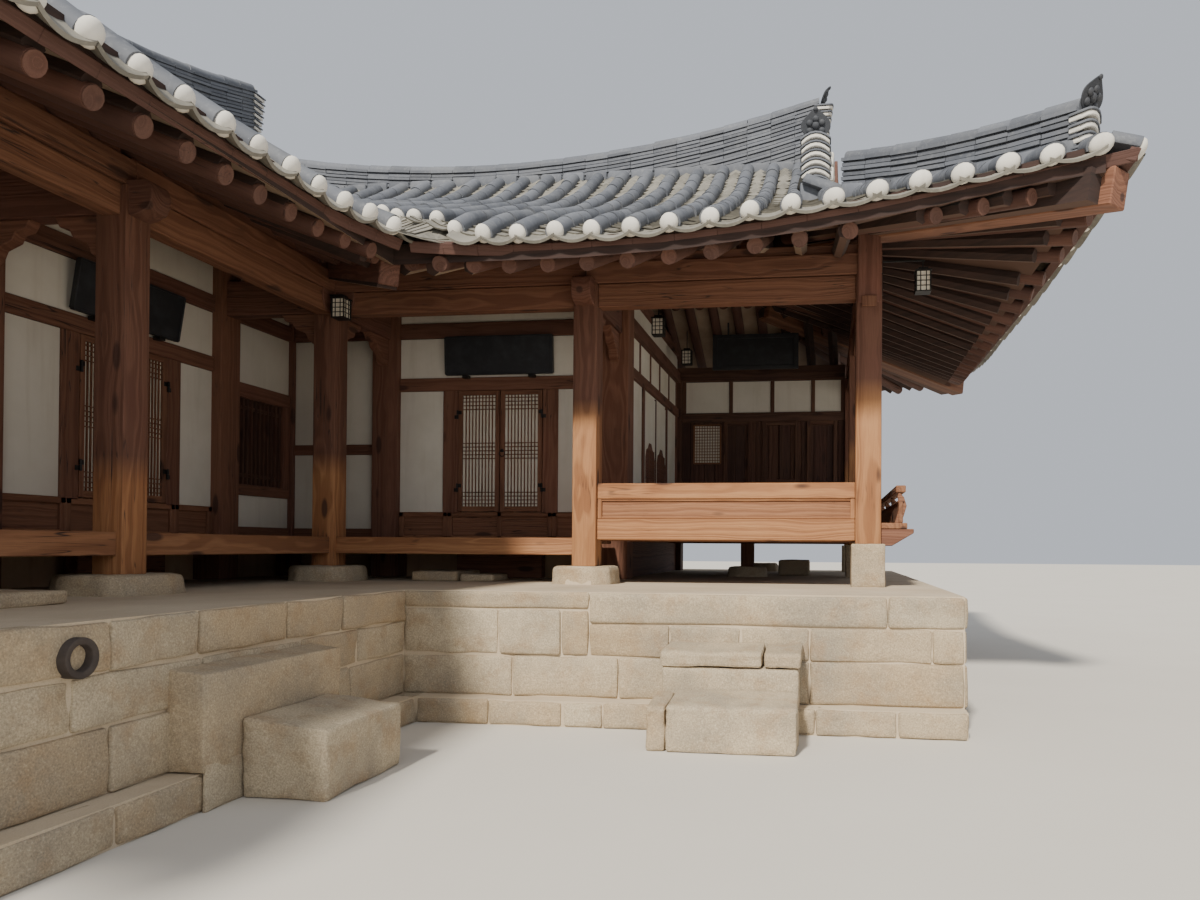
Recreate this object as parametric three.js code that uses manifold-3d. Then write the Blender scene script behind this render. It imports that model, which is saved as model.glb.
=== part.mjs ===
// Korean courtyard house: two wings in an L on a granite podium, with a veranda along the
// courtyard and an open pavilion bay at the end of the right wing.
import * as THREE from 'three';
import { mergeVertices } from 'three/addons/utils/BufferGeometryUtils.js';
import Module from 'manifold-3d';

const wasm = await Module();
wasm.setup();

// Driving dimensions in millimetres. The plan starts at the inner corner column: x runs
// along the front of the right wing, y runs away from the courtyard, z starts at the yard.
const podiumTop = 1040;
const bay = 2730;
const wingDepth = 5150;
const verandaDepth = 1270;
const podiumFront = 1650;
const podiumBack = 900;
const podiumEnd = 650;
const column = 240;
const innerPost = 300;
const wallThickness = 130;
const plasterThickness = 90;
const floorTop = 447;
const pavilionFloorTop = 600;
const lintelBottom = 2710;
const purlinBottom = 2935;
const purlinTop = 3140;
const purlinCap = 3240;
const wallTop = 3680;
const doorSill = 750;
const doorHead = 2150;
const doorWidth = 1010;
const doorGap = 6;
const meetingGap = 12;
const pinRadius = 12;
const pinLength = 50;
const leafThickness = 40;
const eave = 1400;
const eaveTop = 2930;
const eaveUnder = 2760;
const eaveSlope = 0.42;
const rafterSlope = 0.41;
const rafterRadius = 65;
const rafterSpacing = bay / 8;
const cornerLift = 440;
const liftPower = 1.75;
const cornerFlare = 250;
const cornerReach = 3800;
const hipHeight = 480;
const gableRidgeHeight = 700;
const rightRidgeSeat = 5030;
const leftRidgeSeat = 5450;
const seat = 0.3;

// Places worked out from them
const rightEnd = 2 * bay;
const leftEnd = -3 * bay;
const halfSpan = wingDepth / 2 + eave;
const wingMiddle = wingDepth / 2;
const gableLine = rightEnd - 460;
const leftGableLine = leftEnd + 460;
const half = column / 2;
const farSide = rightEnd + eave;
const rearSide = wingDepth + eave;
const nearSide = leftEnd - eave;

const granite = { color: 0xc9bda3, roughness: 0.95, metalness: 0 };
const pine = { color: 0x8a5233, roughness: 0.8, metalness: 0 };
const darkPine = { color: 0x5c3524, roughness: 0.85, metalness: 0 };
const plaster = { color: 0xe4ddcf, roughness: 0.95, metalness: 0 };
const tile = { color: 0x5b6068, roughness: 0.85, metalness: 0 };
const board = { color: 0x1b1c1e, roughness: 0.7, metalness: 0 };
const paper = { color: 0xeee9dc, roughness: 0.9, metalness: 0 };
const clay = { color: 0x3a3734, roughness: 0.9, metalness: 0 };

const house = new THREE.Group();
house.position.set(-(farSide - wingDepth - eave) / 2, -(rearSide + nearSide) / 2, 0);

function solid(geometry) {
  const bare = geometry.clone();
  bare.deleteAttribute('normal');
  bare.deleteAttribute('uv');
  const merged = mergeVertices(bare, 0.001);
  const mesh = new wasm.Mesh({
    numProp: 3,
    vertProperties: new Float32Array(merged.attributes.position.array),
    triVerts: new Uint32Array(merged.index.array),
  });
  return new wasm.Manifold(mesh);
}

function surface(body) {
  const mesh = body.getMesh();
  const geometry = new THREE.BufferGeometry();
  geometry.setAttribute('position', new THREE.BufferAttribute(mesh.vertProperties, 3));
  geometry.setIndex(new THREE.BufferAttribute(mesh.triVerts, 1));
  geometry.computeVertexNormals();
  return geometry;
}

function add(name, look, geometry, x = 0, y = 0, z = 0) {
  const mesh = new THREE.Mesh(geometry, new THREE.MeshStandardMaterial(look));
  mesh.name = name;
  mesh.position.set(x, y, z);
  house.add(mesh);
  return mesh;
}

// A box between two corners, as a geometry. Heights in z are above the podium top.
function boxGeometry(x0, x1, y0, y1, z0, z1) {
  const box = new THREE.BoxGeometry(x1 - x0, y1 - y0, z1 - z0);
  box.translate((x0 + x1) / 2, (y0 + y1) / 2, (z0 + z1) / 2 + podiumTop);
  return box;
}

function block(x0, x1, y0, y1, z0, z1) {
  return solid(boxGeometry(x0, x1, y0, y1, z0, z1));
}

function join(bodies) {
  return bodies.reduce((sum, body) => sum.add(body));
}

function addJoined(name, look, bodies) {
  add(name, look, surface(join(bodies)));
}

// The same box laid along x in the right wing or along y in the left wing: u runs along the
// wing's front, v runs from its column line into the wing.
const rightWing = (u0, u1, v0, v1, z0, z1) => block(u0, u1, v0, v1, z0, z1);
const leftWing = (u0, u1, v0, v1, z0, z1) => block(-v1, -v0, u0, u1, z0, z1);

// Stone: an irregular eight-sided foot stone with a flat top, sunk a little into the podium
function footStone(x, y, size, height) {
  const stone = new THREE.CylinderGeometry(size * 0.53, size * 0.6, height + 20, 8);
  stone.rotateX(Math.PI / 2);
  stone.rotateZ(Math.PI / 8);
  stone.translate(x, y, podiumTop + (height - 20) / 2);
  return solid(stone);
}

const stones = { corner: 150, middle: 170, left: 140, inner: 120 };
const blockHeight = 400;

function buildPodium() {
  const back = -wingDepth - podiumBack;
  const near = leftEnd - podiumEnd;
  const left = [block(back, podiumFront, near, wingDepth + podiumBack, -podiumTop, 0)];
  left.push(block(podiumFront - 50, podiumFront + 180, near, -podiumFront - 180, -podiumTop, -840));
  left.push(footStone(0, 0, 560, stones.corner));
  for (let i = 1; i <= 2; i++) left.push(footStone(0, -bay * i, 640, stones.left));
  addJoined('podium_left', granite, left);

  const right = [block(podiumFront, rightEnd + podiumEnd, -podiumFront, wingDepth + podiumBack,
    -podiumTop, 0)];
  right.push(block(podiumFront + 180, rightEnd + podiumEnd, -podiumFront - 180, -podiumFront + 50,
    -podiumTop, -840));
  right.push(footStone(bay, 0, 560, stones.middle));
  right.push(footStone(bay * 1.5, wingMiddle, 420, stones.inner));
  for (const y of [0, wingMiddle, wingDepth]) {
    right.push(block(rightEnd - 150, rightEnd + 150, y - 150, y + 150, -20, blockHeight));
  }
  right.push(footStone(bay * 1.5, wingDepth, 420, stones.inner));
  addJoined('podium_right', granite, right);
}

// Stone: two blocks for each stair. The upper one stands on the podium's base course and in
// front of it, the lower one stands on the yard.
function buildSteps() {
  const ledge = -840;
  const front = -podiumFront;
  addJoined('right_step_upper', granite, [
    block(3855, 4895, front - 420, front, ledge, -390),
    block(3855, 4895, front - 420, front - 180, -podiumTop, -390),
  ]);
  add('right_step_lower', granite,
    boxGeometry(3850, 4885, front - 900, front - 420, -podiumTop, -700));
  const side = podiumFront;
  addJoined('left_step_upper', granite, [
    block(side, side + 220, -4300, -2990, ledge, -310),
    block(side + 180, side + 220, -4300, -2990, -podiumTop, -310),
  ]);
  add('left_step_lower', granite,
    boxGeometry(side + 220, side + 730, -4000, -3140, -podiumTop, -620));
}

// Clay drain mouth on the courtyard face of the left podium
function buildDrain() {
  const outer = 95;
  const inner = 62;
  const ring = [
    new THREE.Vector2(inner, 0),
    new THREE.Vector2(outer, 0),
    new THREE.Vector2(outer, 60),
    new THREE.Vector2(inner, 60),
    new THREE.Vector2(inner, 0),
  ];
  const mouth = new THREE.LatheGeometry(ring, 20);
  mouth.rotateZ(-Math.PI / 2);
  add('drain_mouth', clay, mouth, podiumFront, -4900, podiumTop - 160);
}

function buildColumns() {
  const spots = [
    ['column_corner', 0, 0, stones.corner],
    ['column_middle', bay, 0, stones.middle],
    ['column_right', rightEnd, 0, blockHeight],
    ['column_left_1', 0, -bay, stones.left],
    ['column_left_2', 0, -bay * 2, stones.left],
  ];
  for (const [name, x, y, foot] of spots) {
    add(name, pine, boxGeometry(-half, half, -half, half, foot, purlinBottom), x, y);
  }
}

// The purlin over a row of columns, the lintels between them below it, and the tie beams
// that run back over the veranda to the inner posts
function buildFrontBeams() {
  const right = [rightWing(-half, rightEnd + half, -100, 100, purlinBottom, purlinTop),
    rightWing(-half, rightEnd + half, -60, 60, purlinTop - 10, purlinCap)];
  for (let i = 0; i < 2; i++) {
    right.push(rightWing(bay * i + half, bay * (i + 1) - half, -75, 75, lintelBottom,
      purlinBottom + 20));
  }
  for (const x of [0, bay]) {
    right.push(block(x - 80, x + 80, half, verandaDepth - 150, 2740, purlinBottom + 20));
    right.push(block(x - 80, x + 80, 50, verandaDepth - 150, purlinBottom, 3100));
  }
  right.push(block(-verandaDepth + 150, -half, -80, 80, 2740, purlinBottom + 20));
  right.push(block(-verandaDepth + 150, -50, -80, 80, purlinBottom, 3100));
  add('right_front_beams', pine, surface(underRoof(join(right))));

  const left = [leftWing(leftEnd + 100, -100, -100, 100, purlinBottom, purlinTop),
    leftWing(leftEnd + 100, -100, -60, 60, purlinTop - 10, purlinCap)];
  for (let i = 1; i <= 3; i++) {
    const start = -bay * i + half;
    left.push(leftWing(start, start + bay - column, -75, 75, lintelBottom, purlinBottom + 20));
  }
  for (const y of [-bay, -2 * bay]) {
    left.push(block(-verandaDepth + 150, -half, y - 80, y + 80, 2740, purlinBottom + 20));
    left.push(block(-verandaDepth + 150, -50, y - 80, y + 80, purlinBottom, 3100));
  }
  add('left_front_beams', pine, surface(underRoof(join(left))));
}

// Open right side of the pavilion: two columns on granite blocks with their lintels
function buildRightSide() {
  const x = rightEnd;
  const bodies = [];
  for (const y of [wingMiddle, wingDepth]) {
    bodies.push(block(x - half, x + half, y - half, y + half, blockHeight, purlinBottom + 20));
  }
  bodies.push(block(x - 75, x + 75, half, wingMiddle - half + 10, lintelBottom, purlinBottom + 20));
  bodies.push(block(x - 75, x + 75, wingMiddle, wingDepth - half + 10, lintelBottom,
    purlinBottom + 20));
  bodies.push(block(x - 100, x + 100, 100, wingDepth - 100, purlinBottom, purlinTop));
  bodies.push(block(x - 100, x + 100, wingDepth - 110, wingDepth + 100, purlinBottom, purlinTop));
  addJoined('right_side_frame', pine, bodies);
}

// Hinge pins: a pin on the jamb carries a knuckle on the leaf, at two heights. The pin line
// stands just in front of the wall's face, in the gap beside the leaf.
const pinOut = 16;
const pinHeights = [doorSill + 230, doorHead - 330];
function hingePart(wing, pinLine, v, towards, z0) {
  const axisV = v - wallThickness / 2 - pinOut;
  const pin = new THREE.CylinderGeometry(pinRadius, pinRadius, pinLength, 8);
  pin.rotateX(Math.PI / 2);
  const [x, y] = wing === rightWing ? [pinLine, axisV] : [-axisV, pinLine];
  pin.translate(x, y, z0 + pinLength / 2 + podiumTop);
  const reach = pinLine + towards * 45;
  const plate = wing(Math.min(pinLine, reach), Math.max(pinLine, reach), axisV,
    v - wallThickness / 2 + 5, z0, z0 + pinLength);
  return solid(pin).add(plate);
}

// A room wall with a double door in the middle of its bay, as a piece beside the door on each
// hand and one over it. The posts stand at the bay's ends; the wall line is at v.
function buildDoorWall(prefix, wing, u0, u1, doorMiddle, v) {
  const front = v - wallThickness / 2;
  const back = v + wallThickness / 2;
  const sheet = plasterThickness / 2;
  const left = doorMiddle - doorWidth / 2;
  const right = doorMiddle + doorWidth / 2;
  const jamb = 180;
  const post = innerPost / 2;
  const ends = [
    ['near', u0, u0 + post - 10, left, left - jamb, left + doorGap / 2, -1],
    ['far', u1, right, u1 - post + 10, right, right - doorGap / 2, 1],
  ];
  for (const [end, middle, fill0, fill1, jambStart, pinLine, towards] of ends) {
    const pins = pinHeights.map((z) => hingePart(wing, pinLine, v, towards, z));
    addJoined(`${prefix}_wall_${end}`, plaster, [
      ...pins,
      wing(middle - post, middle + post, v - post, v + post, 0, wallTop),
      wing(fill0, fill1, v - sheet, v + sheet, 0, doorHead),
      wing(fill0, fill1, front, back, 0, doorSill - 20),
      wing(jambStart, jambStart + jamb, front, back, 0, doorHead),
    ]);
  }
  const over0 = u0 + post;
  const over1 = u1 - post;
  addJoined(`${prefix}_wall_over`, plaster, [
    wing(over0, over1, front, back, doorHead, doorHead + 150),
    wing(over0, over1, v - sheet, v + sheet, doorHead + 140, wallTop - 160),
    wing(over0, over1, front - 10, back + 10, 2760, purlinBottom),
    wing(over0, over1, front - 10, back + 10, wallTop - 170, wallTop),
  ]);
  addJoined(`${prefix}_door_sill`, pine, [
    wing(left, right, front, back, 0, doorSill),
  ]);
}

// One lattice door leaf, hung on its outer stile
function doorLeaf(name, wing, u0, u1, v, hungNear) {
  const front = v - wallThickness / 2;
  const leaf = wing(u0, u1, front, front + leafThickness, doorSill + doorGap,
    doorHead - doorGap);
  const paperBack = wing(u0 + 60, u1 - 60, front + leafThickness - 5, front + leafThickness + 10,
    doorSill + 60, doorHead - 60);
  const pinLine = hungNear ? u0 - doorGap / 2 : u1 + doorGap / 2;
  const knuckles = pinHeights.map((z) => hingePart(wing, pinLine, v, hungNear ? 1 : -1,
    z + pinLength + seat));
  addJoined(name, pine, [leaf, paperBack, ...knuckles]);
}

function buildDoors() {
  const v = verandaDepth;
  const rightMiddle = bay / 2;
  const leftMiddle = -bay / 2 + 65;
  buildDoorWall('right', rightWing, 0, bay, rightMiddle, v);
  buildDoorWall('left', leftWing, -bay, 0, leftMiddle, v);
  for (const [side, wing, middle] of [['right', rightWing, rightMiddle],
    ['left', leftWing, leftMiddle]]) {
    doorLeaf(`${side}_door_near`, wing, middle - doorWidth / 2 + doorGap,
      middle - meetingGap / 2, v, true);
    doorLeaf(`${side}_door_far`, wing, middle + meetingGap / 2,
      middle + doorWidth / 2 - doorGap, v, false);
  }
}

// The walls round the inner corner: plaster with a rail, and a small barred window
function buildCornerWalls() {
  const v = verandaDepth;
  const front = v - wallThickness / 2;
  const back = v + wallThickness / 2;
  const sheet = plasterThickness / 2;
  addJoined('corner_wall_right', plaster, [
    rightWing(-v - 100, -v + 100, v - 100, v + 100, 0, wallTop),
    rightWing(-v + 90, -innerPost / 2, v - sheet, v + sheet, 0, wallTop - 160),
    rightWing(-v + 90, -innerPost / 2, front, back, 0, 450),
    rightWing(-v + 90, -innerPost / 2, front, back, 1420, 1540),
    rightWing(-v + 90, -innerPost / 2, front - 10, back + 10, 2760, purlinBottom),
    rightWing(-v + 90, -innerPost / 2, front - 10, back + 10, wallTop - 170, wallTop),
  ]);
  const start = innerPost / 2;
  const end = v - 100;
  addJoined('corner_wall_left', plaster, [
    leftWing(start, end, front, back, 0, 1000),
    leftWing(start, start + 120, front, back, 990, 2260),
    leftWing(end - 120, end, front, back, 990, 2260),
    leftWing(start, end, front, back, 2050, 2260),
    leftWing(start, end, v - sheet, v + sheet, 2250, wallTop - 160),
    leftWing(start, end, front - 10, back + 10, 2760, purlinBottom),
    leftWing(start, end, front - 10, back + 10, wallTop - 170, wallTop),
  ]);
  addJoined('corner_window', darkPine, [
    leftWing(start + 120, end - 120, v - 30, v + 30, 1000, 2050),
  ]);
}

// The left wing's two bays beyond the photographed one repeat it, with fixed doors
function buildFarBays() {
  const v = verandaDepth;
  const front = v - wallThickness / 2;
  const back = v + wallThickness / 2;
  const sheet = plasterThickness / 2;
  const start = leftEnd + half;
  const end = -bay - innerPost / 2;
  let wall = join([
    leftWing(start, end, v - sheet, v + sheet, 0, wallTop - 160),
    leftWing(start, end, front, back, 0, doorSill),
    leftWing(start, end, front, back, doorHead, doorHead + 150),
    leftWing(start, end, front - 10, back + 10, 2760, purlinBottom),
    leftWing(start, end, front - 10, back + 10, wallTop - 170, wallTop),
    leftWing(-2 * bay - innerPost / 2, -2 * bay + innerPost / 2, v - innerPost / 2,
      v + innerPost / 2, 0, wallTop),
  ]);
  const first = -2.5 * bay - 700;
  const last = -1.5 * bay + 700;
  const doors = [leftWing(first, last, v + sheet, v + sheet + 20, 900, 2000)];
  for (const middle of [-1.5 * bay, -2.5 * bay]) {
    const u0 = middle - doorWidth / 2;
    const u1 = middle + doorWidth / 2;
    wall = wall.add(leftWing(u0 - 180, u1 + 180, front, back, doorSill - 20, doorHead + 20));
    wall = wall.subtract(leftWing(u0, u1, front - 50, back + 50, doorSill, doorHead));
    doors.push(leftWing(u0, u1, front, back, doorSill, doorHead));
  }
  wall = wall.subtract(leftWing(first, last, v + sheet, v + sheet + 400, 900, 2000));
  wall = wall.subtract(leftWing(leftEnd, leftEnd + verandaDepth + 100, v - 200, v + 200,
    purlinTop, 5000));
  add('left_far_wall', plaster, surface(wall));
  addJoined('left_far_doors', pine, doors);
}

// An outer wall on a hidden side: posts at every bay, sill, rail and purlin, with plaster
// between and small lattice windows in some bays
function outerWall(name, along, posts, line, windows, sheetName) {
  const first = posts[0];
  const last = posts[posts.length - 1];
  const front = line - wallThickness / 2;
  const back = line + wallThickness / 2;
  const sheet = plasterThickness / 2;
  let wall = join([
    along(first, last, line - sheet, line + sheet, 0, purlinBottom + 20),
    along(first, last, front, back, 0, 350),
    along(first, last, front, back, 2150, 2300),
    along(first, last, front, back, lintelBottom, purlinBottom + 20),
    along(first, last, line - 100, line + 100, purlinBottom, purlinTop),
    ...posts.slice(1, -1).map((p) => along(p - half, p + half, line - half, line + half, 0,
      purlinBottom)),
  ]);
  for (const middle of windows) {
    wall = wall.add(along(middle - 480, middle + 480, front, back, 900, 2200));
  }
  for (const middle of windows) {
    wall = wall.subtract(along(middle - 380, middle + 380, front - 50, back + 50, 1000, 2100));
  }
  if (sheetName) {
    const ends = [windows[0] - 400, windows[windows.length - 1] + 400];
    const channel = along(ends[0], ends[1], line - 8, line + 8, 980, 2120);
    const leaves = windows.map((m) => along(m - 380, m + 380, line - 25, line + 25, 1000, 2100));
    wall = wall.subtract(channel);
    addJoined(sheetName, darkPine, [channel, ...leaves]);
  }
  add(name, plaster, surface(wall));
}

function buildOuterWalls() {
  const alongX = rightWing;
  const alongY = (u0, u1, v0, v1, z0, z1) => block(v0, v1, u0, u1, z0, z1);
  const rearPosts = [-wingDepth + 100, -wingMiddle, 0, bay - half];
  outerWall('rear_wall', alongX, rearPosts, wingDepth, [-wingMiddle * 1.5, -wingMiddle / 2, bay / 2],
    'rear_windows');
  const backPosts = [leftEnd + 100, -2 * bay, -bay, 0, wingMiddle, wingDepth + half];
  outerWall('back_wall', alongY, backPosts, -wingDepth, [-2.5 * bay, -bay / 2, bay / 2 - 80],
    'back_windows');
  const endPosts = [-wingDepth - half, -wingMiddle - 600, -verandaDepth, half];
  outerWall('left_end_wall', alongX, endPosts, leftEnd, [], '');
}

// Pavilion: a raised plank floor on posts, a railing, a plank rear wall and papered doors
function buildPavilion() {
  const x0 = bay + half;
  const x1 = rightEnd - half;
  const under = pavilionFloorTop - 60;
  const boards = join([
    block(x0, x1, 75, wingDepth - 75, under, pavilionFloorTop),
    block(bay + 20, x0 + 10, verandaDepth + 150, wingDepth - 150, 450, pavilionFloorTop),
    block(x1 - 10, rightEnd - 20, half, wingMiddle - half, 430, pavilionFloorTop),
    block(x1 - 10, rightEnd - 20, wingMiddle + half, wingDepth - half, 430, pavilionFloorTop),
    block(x0, x1, wingMiddle - 80, wingMiddle + 80, under - 120, under + 10),
  ]);
  const post = innerPost / 2;
  const notch = block(bay - post, bay + post, verandaDepth - post, verandaDepth + post, 0, 900);
  add('pavilion_floor', pine, surface(boards.subtract(notch)));
  const px = bay * 1.5;
  add('pavilion_floor_post', darkPine,
    boxGeometry(px - 80, px + 80, wingMiddle - 80, wingMiddle + 80, stones.inner, under - 120));
  addJoined('pavilion_rail_front', pine, [
    block(x0, x1, -75, 75, 430, 630),
    block(x0, x1, -30, 30, 620, 830),
    block(x0, x1, -70, 70, 830, 981),
  ]);
  const out = rightEnd + 300;
  const rail = [
    block(rightEnd + half, out + 60, -100, wingDepth + 100, 540, 600),
    block(rightEnd - 20, rightEnd + half + 10, half, wingMiddle - half, 430, 600),
    block(rightEnd - 20, rightEnd + half + 10, wingMiddle + half, wingDepth - half, 430, 600),
    block(out - 20, out + 20, -100, wingDepth + 100, 590, 800),
    block(out - 45, out + 45, -100, wingDepth + 100, 880, 950),
  ];
  for (let i = 0; i <= 6; i++) {
    const y = -60 + i * (wingDepth + 120) / 6;
    rail.push(block(out - 25, out + 25, y - 30, y + 30, 590, 890));
  }
  addJoined('pavilion_rail_right', pine, rail);
  const back = wingDepth;
  const sheet = plasterThickness / 2;
  const start = x0 - 10;
  const rear = join([
    block(start, x1, back - 75, back + 75, 430, 700),
    block(start, x1, back - 25, back + 25, 690, 2310),
    block(start, x1, back - 65, back + 65, 2300, 2440),
    block(start, x1, back - sheet, back + sheet, 2430, 2930),
    block(start, x1, back - 75, back + 75, 2920, purlinBottom + 20),
    block(bay - half, x1, back - 100, back + 100, purlinBottom, purlinTop),
    block(bay - half, x0, back - half, back + half, 0, purlinBottom + 20),
  ]);
  add('pavilion_rear_wall', darkPine, surface(underRoof(rear)));
  const near = verandaDepth + innerPost / 2;
  const far = wingDepth - half;
  const side = join([
    block(bay - 65, bay + 20, near, far, 0, 610),
    block(bay - 25, bay + 25, near, far, 600, 2310),
    block(bay - 65, bay + 65, near, far, 2300, 2400),
    block(bay - 20, bay + 20, near, far, 2390, 2770),
    block(bay - 90, bay + 90, near, far, 2760, wallTop - 400),
    block(bay - 45, bay + 45, near, far, wallTop - 410, 3560),
  ]);
  add('pavilion_side_wall', paper, surface(underRoof(side)));
}

// Veranda boards behind the columns, with their fascia between the columns
function buildVeranda() {
  const v = verandaDepth - wallThickness / 2;
  const thickness = 60;
  const fascia = 168;
  addJoined('veranda_right', pine, [
    rightWing(-120, bay - 150, half, verandaDepth - 150, floorTop - thickness, floorTop),
    rightWing(half, bay - half, -75, half + 10, floorTop - fascia, floorTop),
    rightWing(150, bay - 150, verandaDepth - 160, v, floorTop - thickness, floorTop),
  ]);
  const left = [block(-verandaDepth + 150, -half, leftEnd + 65, verandaDepth - 150,
    floorTop - thickness, floorTop)];
  left.push(block(-v, -verandaDepth + 160, -bay + 150, -150, floorTop - thickness, floorTop));
  for (let i = 0; i < 3; i++) {
    left.push(leftWing(-bay * (i + 1) + half, -bay * i - half, -75, half + 10, floorTop - fascia,
      floorTop));
  }
  addJoined('veranda_left', pine, left);
}

// Raised room floors behind the walls
function buildRoomFloor() {
  const v = verandaDepth + innerPost / 2;
  addJoined('room_floor', granite, [
    block(-wingDepth + half, -v, leftEnd + half, wingDepth - half, 0, floorTop),
    block(-v - 10, bay - 150, v, wingDepth - half, 0, floorTop),
  ]);
}

// Boards over the doors and in the pavilion, all bare
function buildBoards() {
  const front = verandaDepth - wallThickness / 2 - 10;
  const right = boxGeometry(-650, 650, -60, 0, 2320, 2760);
  add('name_board_right', board, right, 1365, front, 0);
  const left = boxGeometry(0, 60, -620, 620, 2320, 2760);
  add('name_board_left', board, left, -front, -1330, 0);
  const middle = bay * 1.5 - 60;
  const line = wingDepth - 820;
  const hung = join([
    block(middle - 620, middle + 620, line, line + 50, 2950, 3475),
    block(middle - 420, middle - 390, line + 10, line + 40, 3465, 3650),
    block(middle + 390, middle + 420, line + 10, line + 40, 3465, 3650),
  ]);
  add('hanging_board', board, surface(underRoof(hung)));
}

// Roof surfaces: heights over the distance s from the eave, concave and steeper to the ridge
const rightBend = (rightRidgeSeat - eaveTop - eaveSlope * halfSpan) / halfSpan ** 2;
const leftBend = (leftRidgeSeat - eaveTop - eaveSlope * halfSpan) / halfSpan ** 2;
const tileHeight = (s, bend) => eaveTop + eaveSlope * s + bend * s * s;
const breakPoint = eave + verandaDepth;
const breakHeight = eaveUnder + rafterSlope * breakPoint;
// Height under each roof at its ridge; the right one's rafters end close below the tiles
const underPeak = (ridgeSeat) => ridgeSeat - (ridgeSeat === rightRidgeSeat ? 460 : 600);
function underHeight(s, ridgeSeat) {
  if (s <= breakPoint) return eaveUnder + rafterSlope * s;
  const upper = (underPeak(ridgeSeat) - breakHeight) / (halfSpan - breakPoint);
  return breakHeight + upper * (s - breakPoint);
}

// Corners of the eaves rise and reach out; this bends a point of the plain roof there
const outerCorners = [
  [farSide, -eave, 1, -1],
  [farSide, rearSide, 1, 1],
  [-wingDepth - eave, rearSide, -1, 1],
  [-wingDepth - eave, nearSide, -1, -1],
  [eave, nearSide, 1, -1],
];
function bend(x, y, z) {
  let rise = 0;
  const shift = [0, 0];
  for (const [cornerX, cornerY, outX, outY] of outerCorners) {
    const alongX = 1 - Math.max(0, (cornerX - x) * outX) / cornerReach;
    const alongY = 1 - Math.max(0, (cornerY - y) * outY) / cornerReach;
    if (alongX > 0 && alongY > 0) {
      rise += cornerLift * (alongX * alongY) ** liftPower;
      const out = cornerFlare * (alongX * alongY) ** 1.5;
      shift[0] += out * outX;
      shift[1] += out * outY;
    }
  }
  return [x + shift[0], y + shift[1], z + rise];
}

function bendGeometry(geometry) {
  const place = geometry.attributes.position;
  for (let i = 0; i < place.count; i++) {
    const [x, y, z] = bend(place.getX(i), place.getY(i), place.getZ(i));
    place.setXYZ(i, x, y, z);
  }
  return geometry;
}

// A prism with the outline of a roof section: points are [distance, height], pushed out along
// the other direction from start to end
function sectionPrism(points, along, start, end, steps) {
  const outline = new THREE.Shape(points.map(([d, h]) => new THREE.Vector2(d, h + podiumTop)));
  const size = { depth: end - start, steps, bevelEnabled: false };
  const prism = new THREE.ExtrudeGeometry(outline, size);
  if (along === 'x') {
    prism.rotateX(Math.PI / 2);
    prism.rotateZ(Math.PI / 2);
    prism.translate(start, 0, 0);
  } else {
    prism.rotateX(Math.PI / 2);
    prism.translate(0, end, 0);
  }
  return solid(bendGeometry(prism));
}

const topStops = [0, 900, 1900, 3000];
const underStops = [0, 1400, breakPoint];
const past = 400;

// Outline of a wing's section between two eaves, from its tile surface or its underside. The
// underside's outline starts a little outside the eaves and lower down, so that it cuts clean.
function wingOutline(line0, line1, height, stops, peak, outside) {
  const foot = outside ? -1500 : 1500;
  const points = [[line0 - outside, foot]];
  if (outside) points.push([line0 - outside, height(-outside)]);
  for (const s of stops) points.push([line0 + s, height(s)]);
  points.push(...peak);
  for (const s of [...stops].reverse()) points.push([line1 - s, height(s)]);
  if (outside) points.push([line1 + outside, height(-outside)]);
  points.push([line1 + outside, foot]);
  return points;
}

// Outline of a single slope rising from an eave, at 'line', towards 'inside'
function slopeOutline(line, inside, height, stops, reach, outside) {
  const sign = Math.sign(inside - line);
  const foot = outside ? -1500 : 1500;
  const points = [[line - sign * outside, foot]];
  if (outside) points.push([line - sign * outside, height(-outside)]);
  for (const s of stops) points.push([line + sign * s, height(s)]);
  points.push([line + sign * reach, height(reach)]);
  points.push([line + sign * reach, 7000]);
  points.push([inside, 7000]);
  points.push([inside, foot]);
  return sign > 0 ? points : points.reverse();
}

function wingVolumes(bendValue, ridgeSeat, along, lines, from, to, steps) {
  const tileLine = (s) => tileHeight(s, bendValue);
  const underLine = (s) => underHeight(s, ridgeSeat);
  const middle = (lines[0] + lines[1]) / 2;
  const topPeak = [[middle - 150, ridgeSeat], [middle + 150, ridgeSeat]];
  const top = wingOutline(lines[0], lines[1], tileLine, topStops, topPeak, 0);
  const under = wingOutline(lines[0], lines[1], underLine, underStops,
    [[middle, underPeak(ridgeSeat)]], past);
  return [
    sectionPrism(top, along, from, to, steps),
    sectionPrism(under, along, from - past, to + past, steps),
  ];
}

function endVolumes(bendValue, ridgeSeat, along, line, inside, from, to, steps) {
  const tileLine = (s) => tileHeight(s, bendValue);
  const underLine = (s) => underHeight(s, ridgeSeat);
  const top = slopeOutline(line, inside, tileLine, topStops, halfSpan + 700, 0);
  const under = slopeOutline(line, inside, underLine, underStops, halfSpan + 700, past);
  return [
    sectionPrism(top, along, from, to, steps),
    sectionPrism(under, along, from - past, to + past, steps),
  ];
}

// A gable roof whose end is hipped below the gable: the ridge part runs out past the gable
// wall, and the end slope passes under it
function gableEnd(mainTop, mainUnder, endTop, endUnder, window) {
  const top = mainTop.intersect(endTop).intersect(window);
  const under = mainUnder.intersect(endUnder);
  return top.subtract(under);
}

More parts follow.
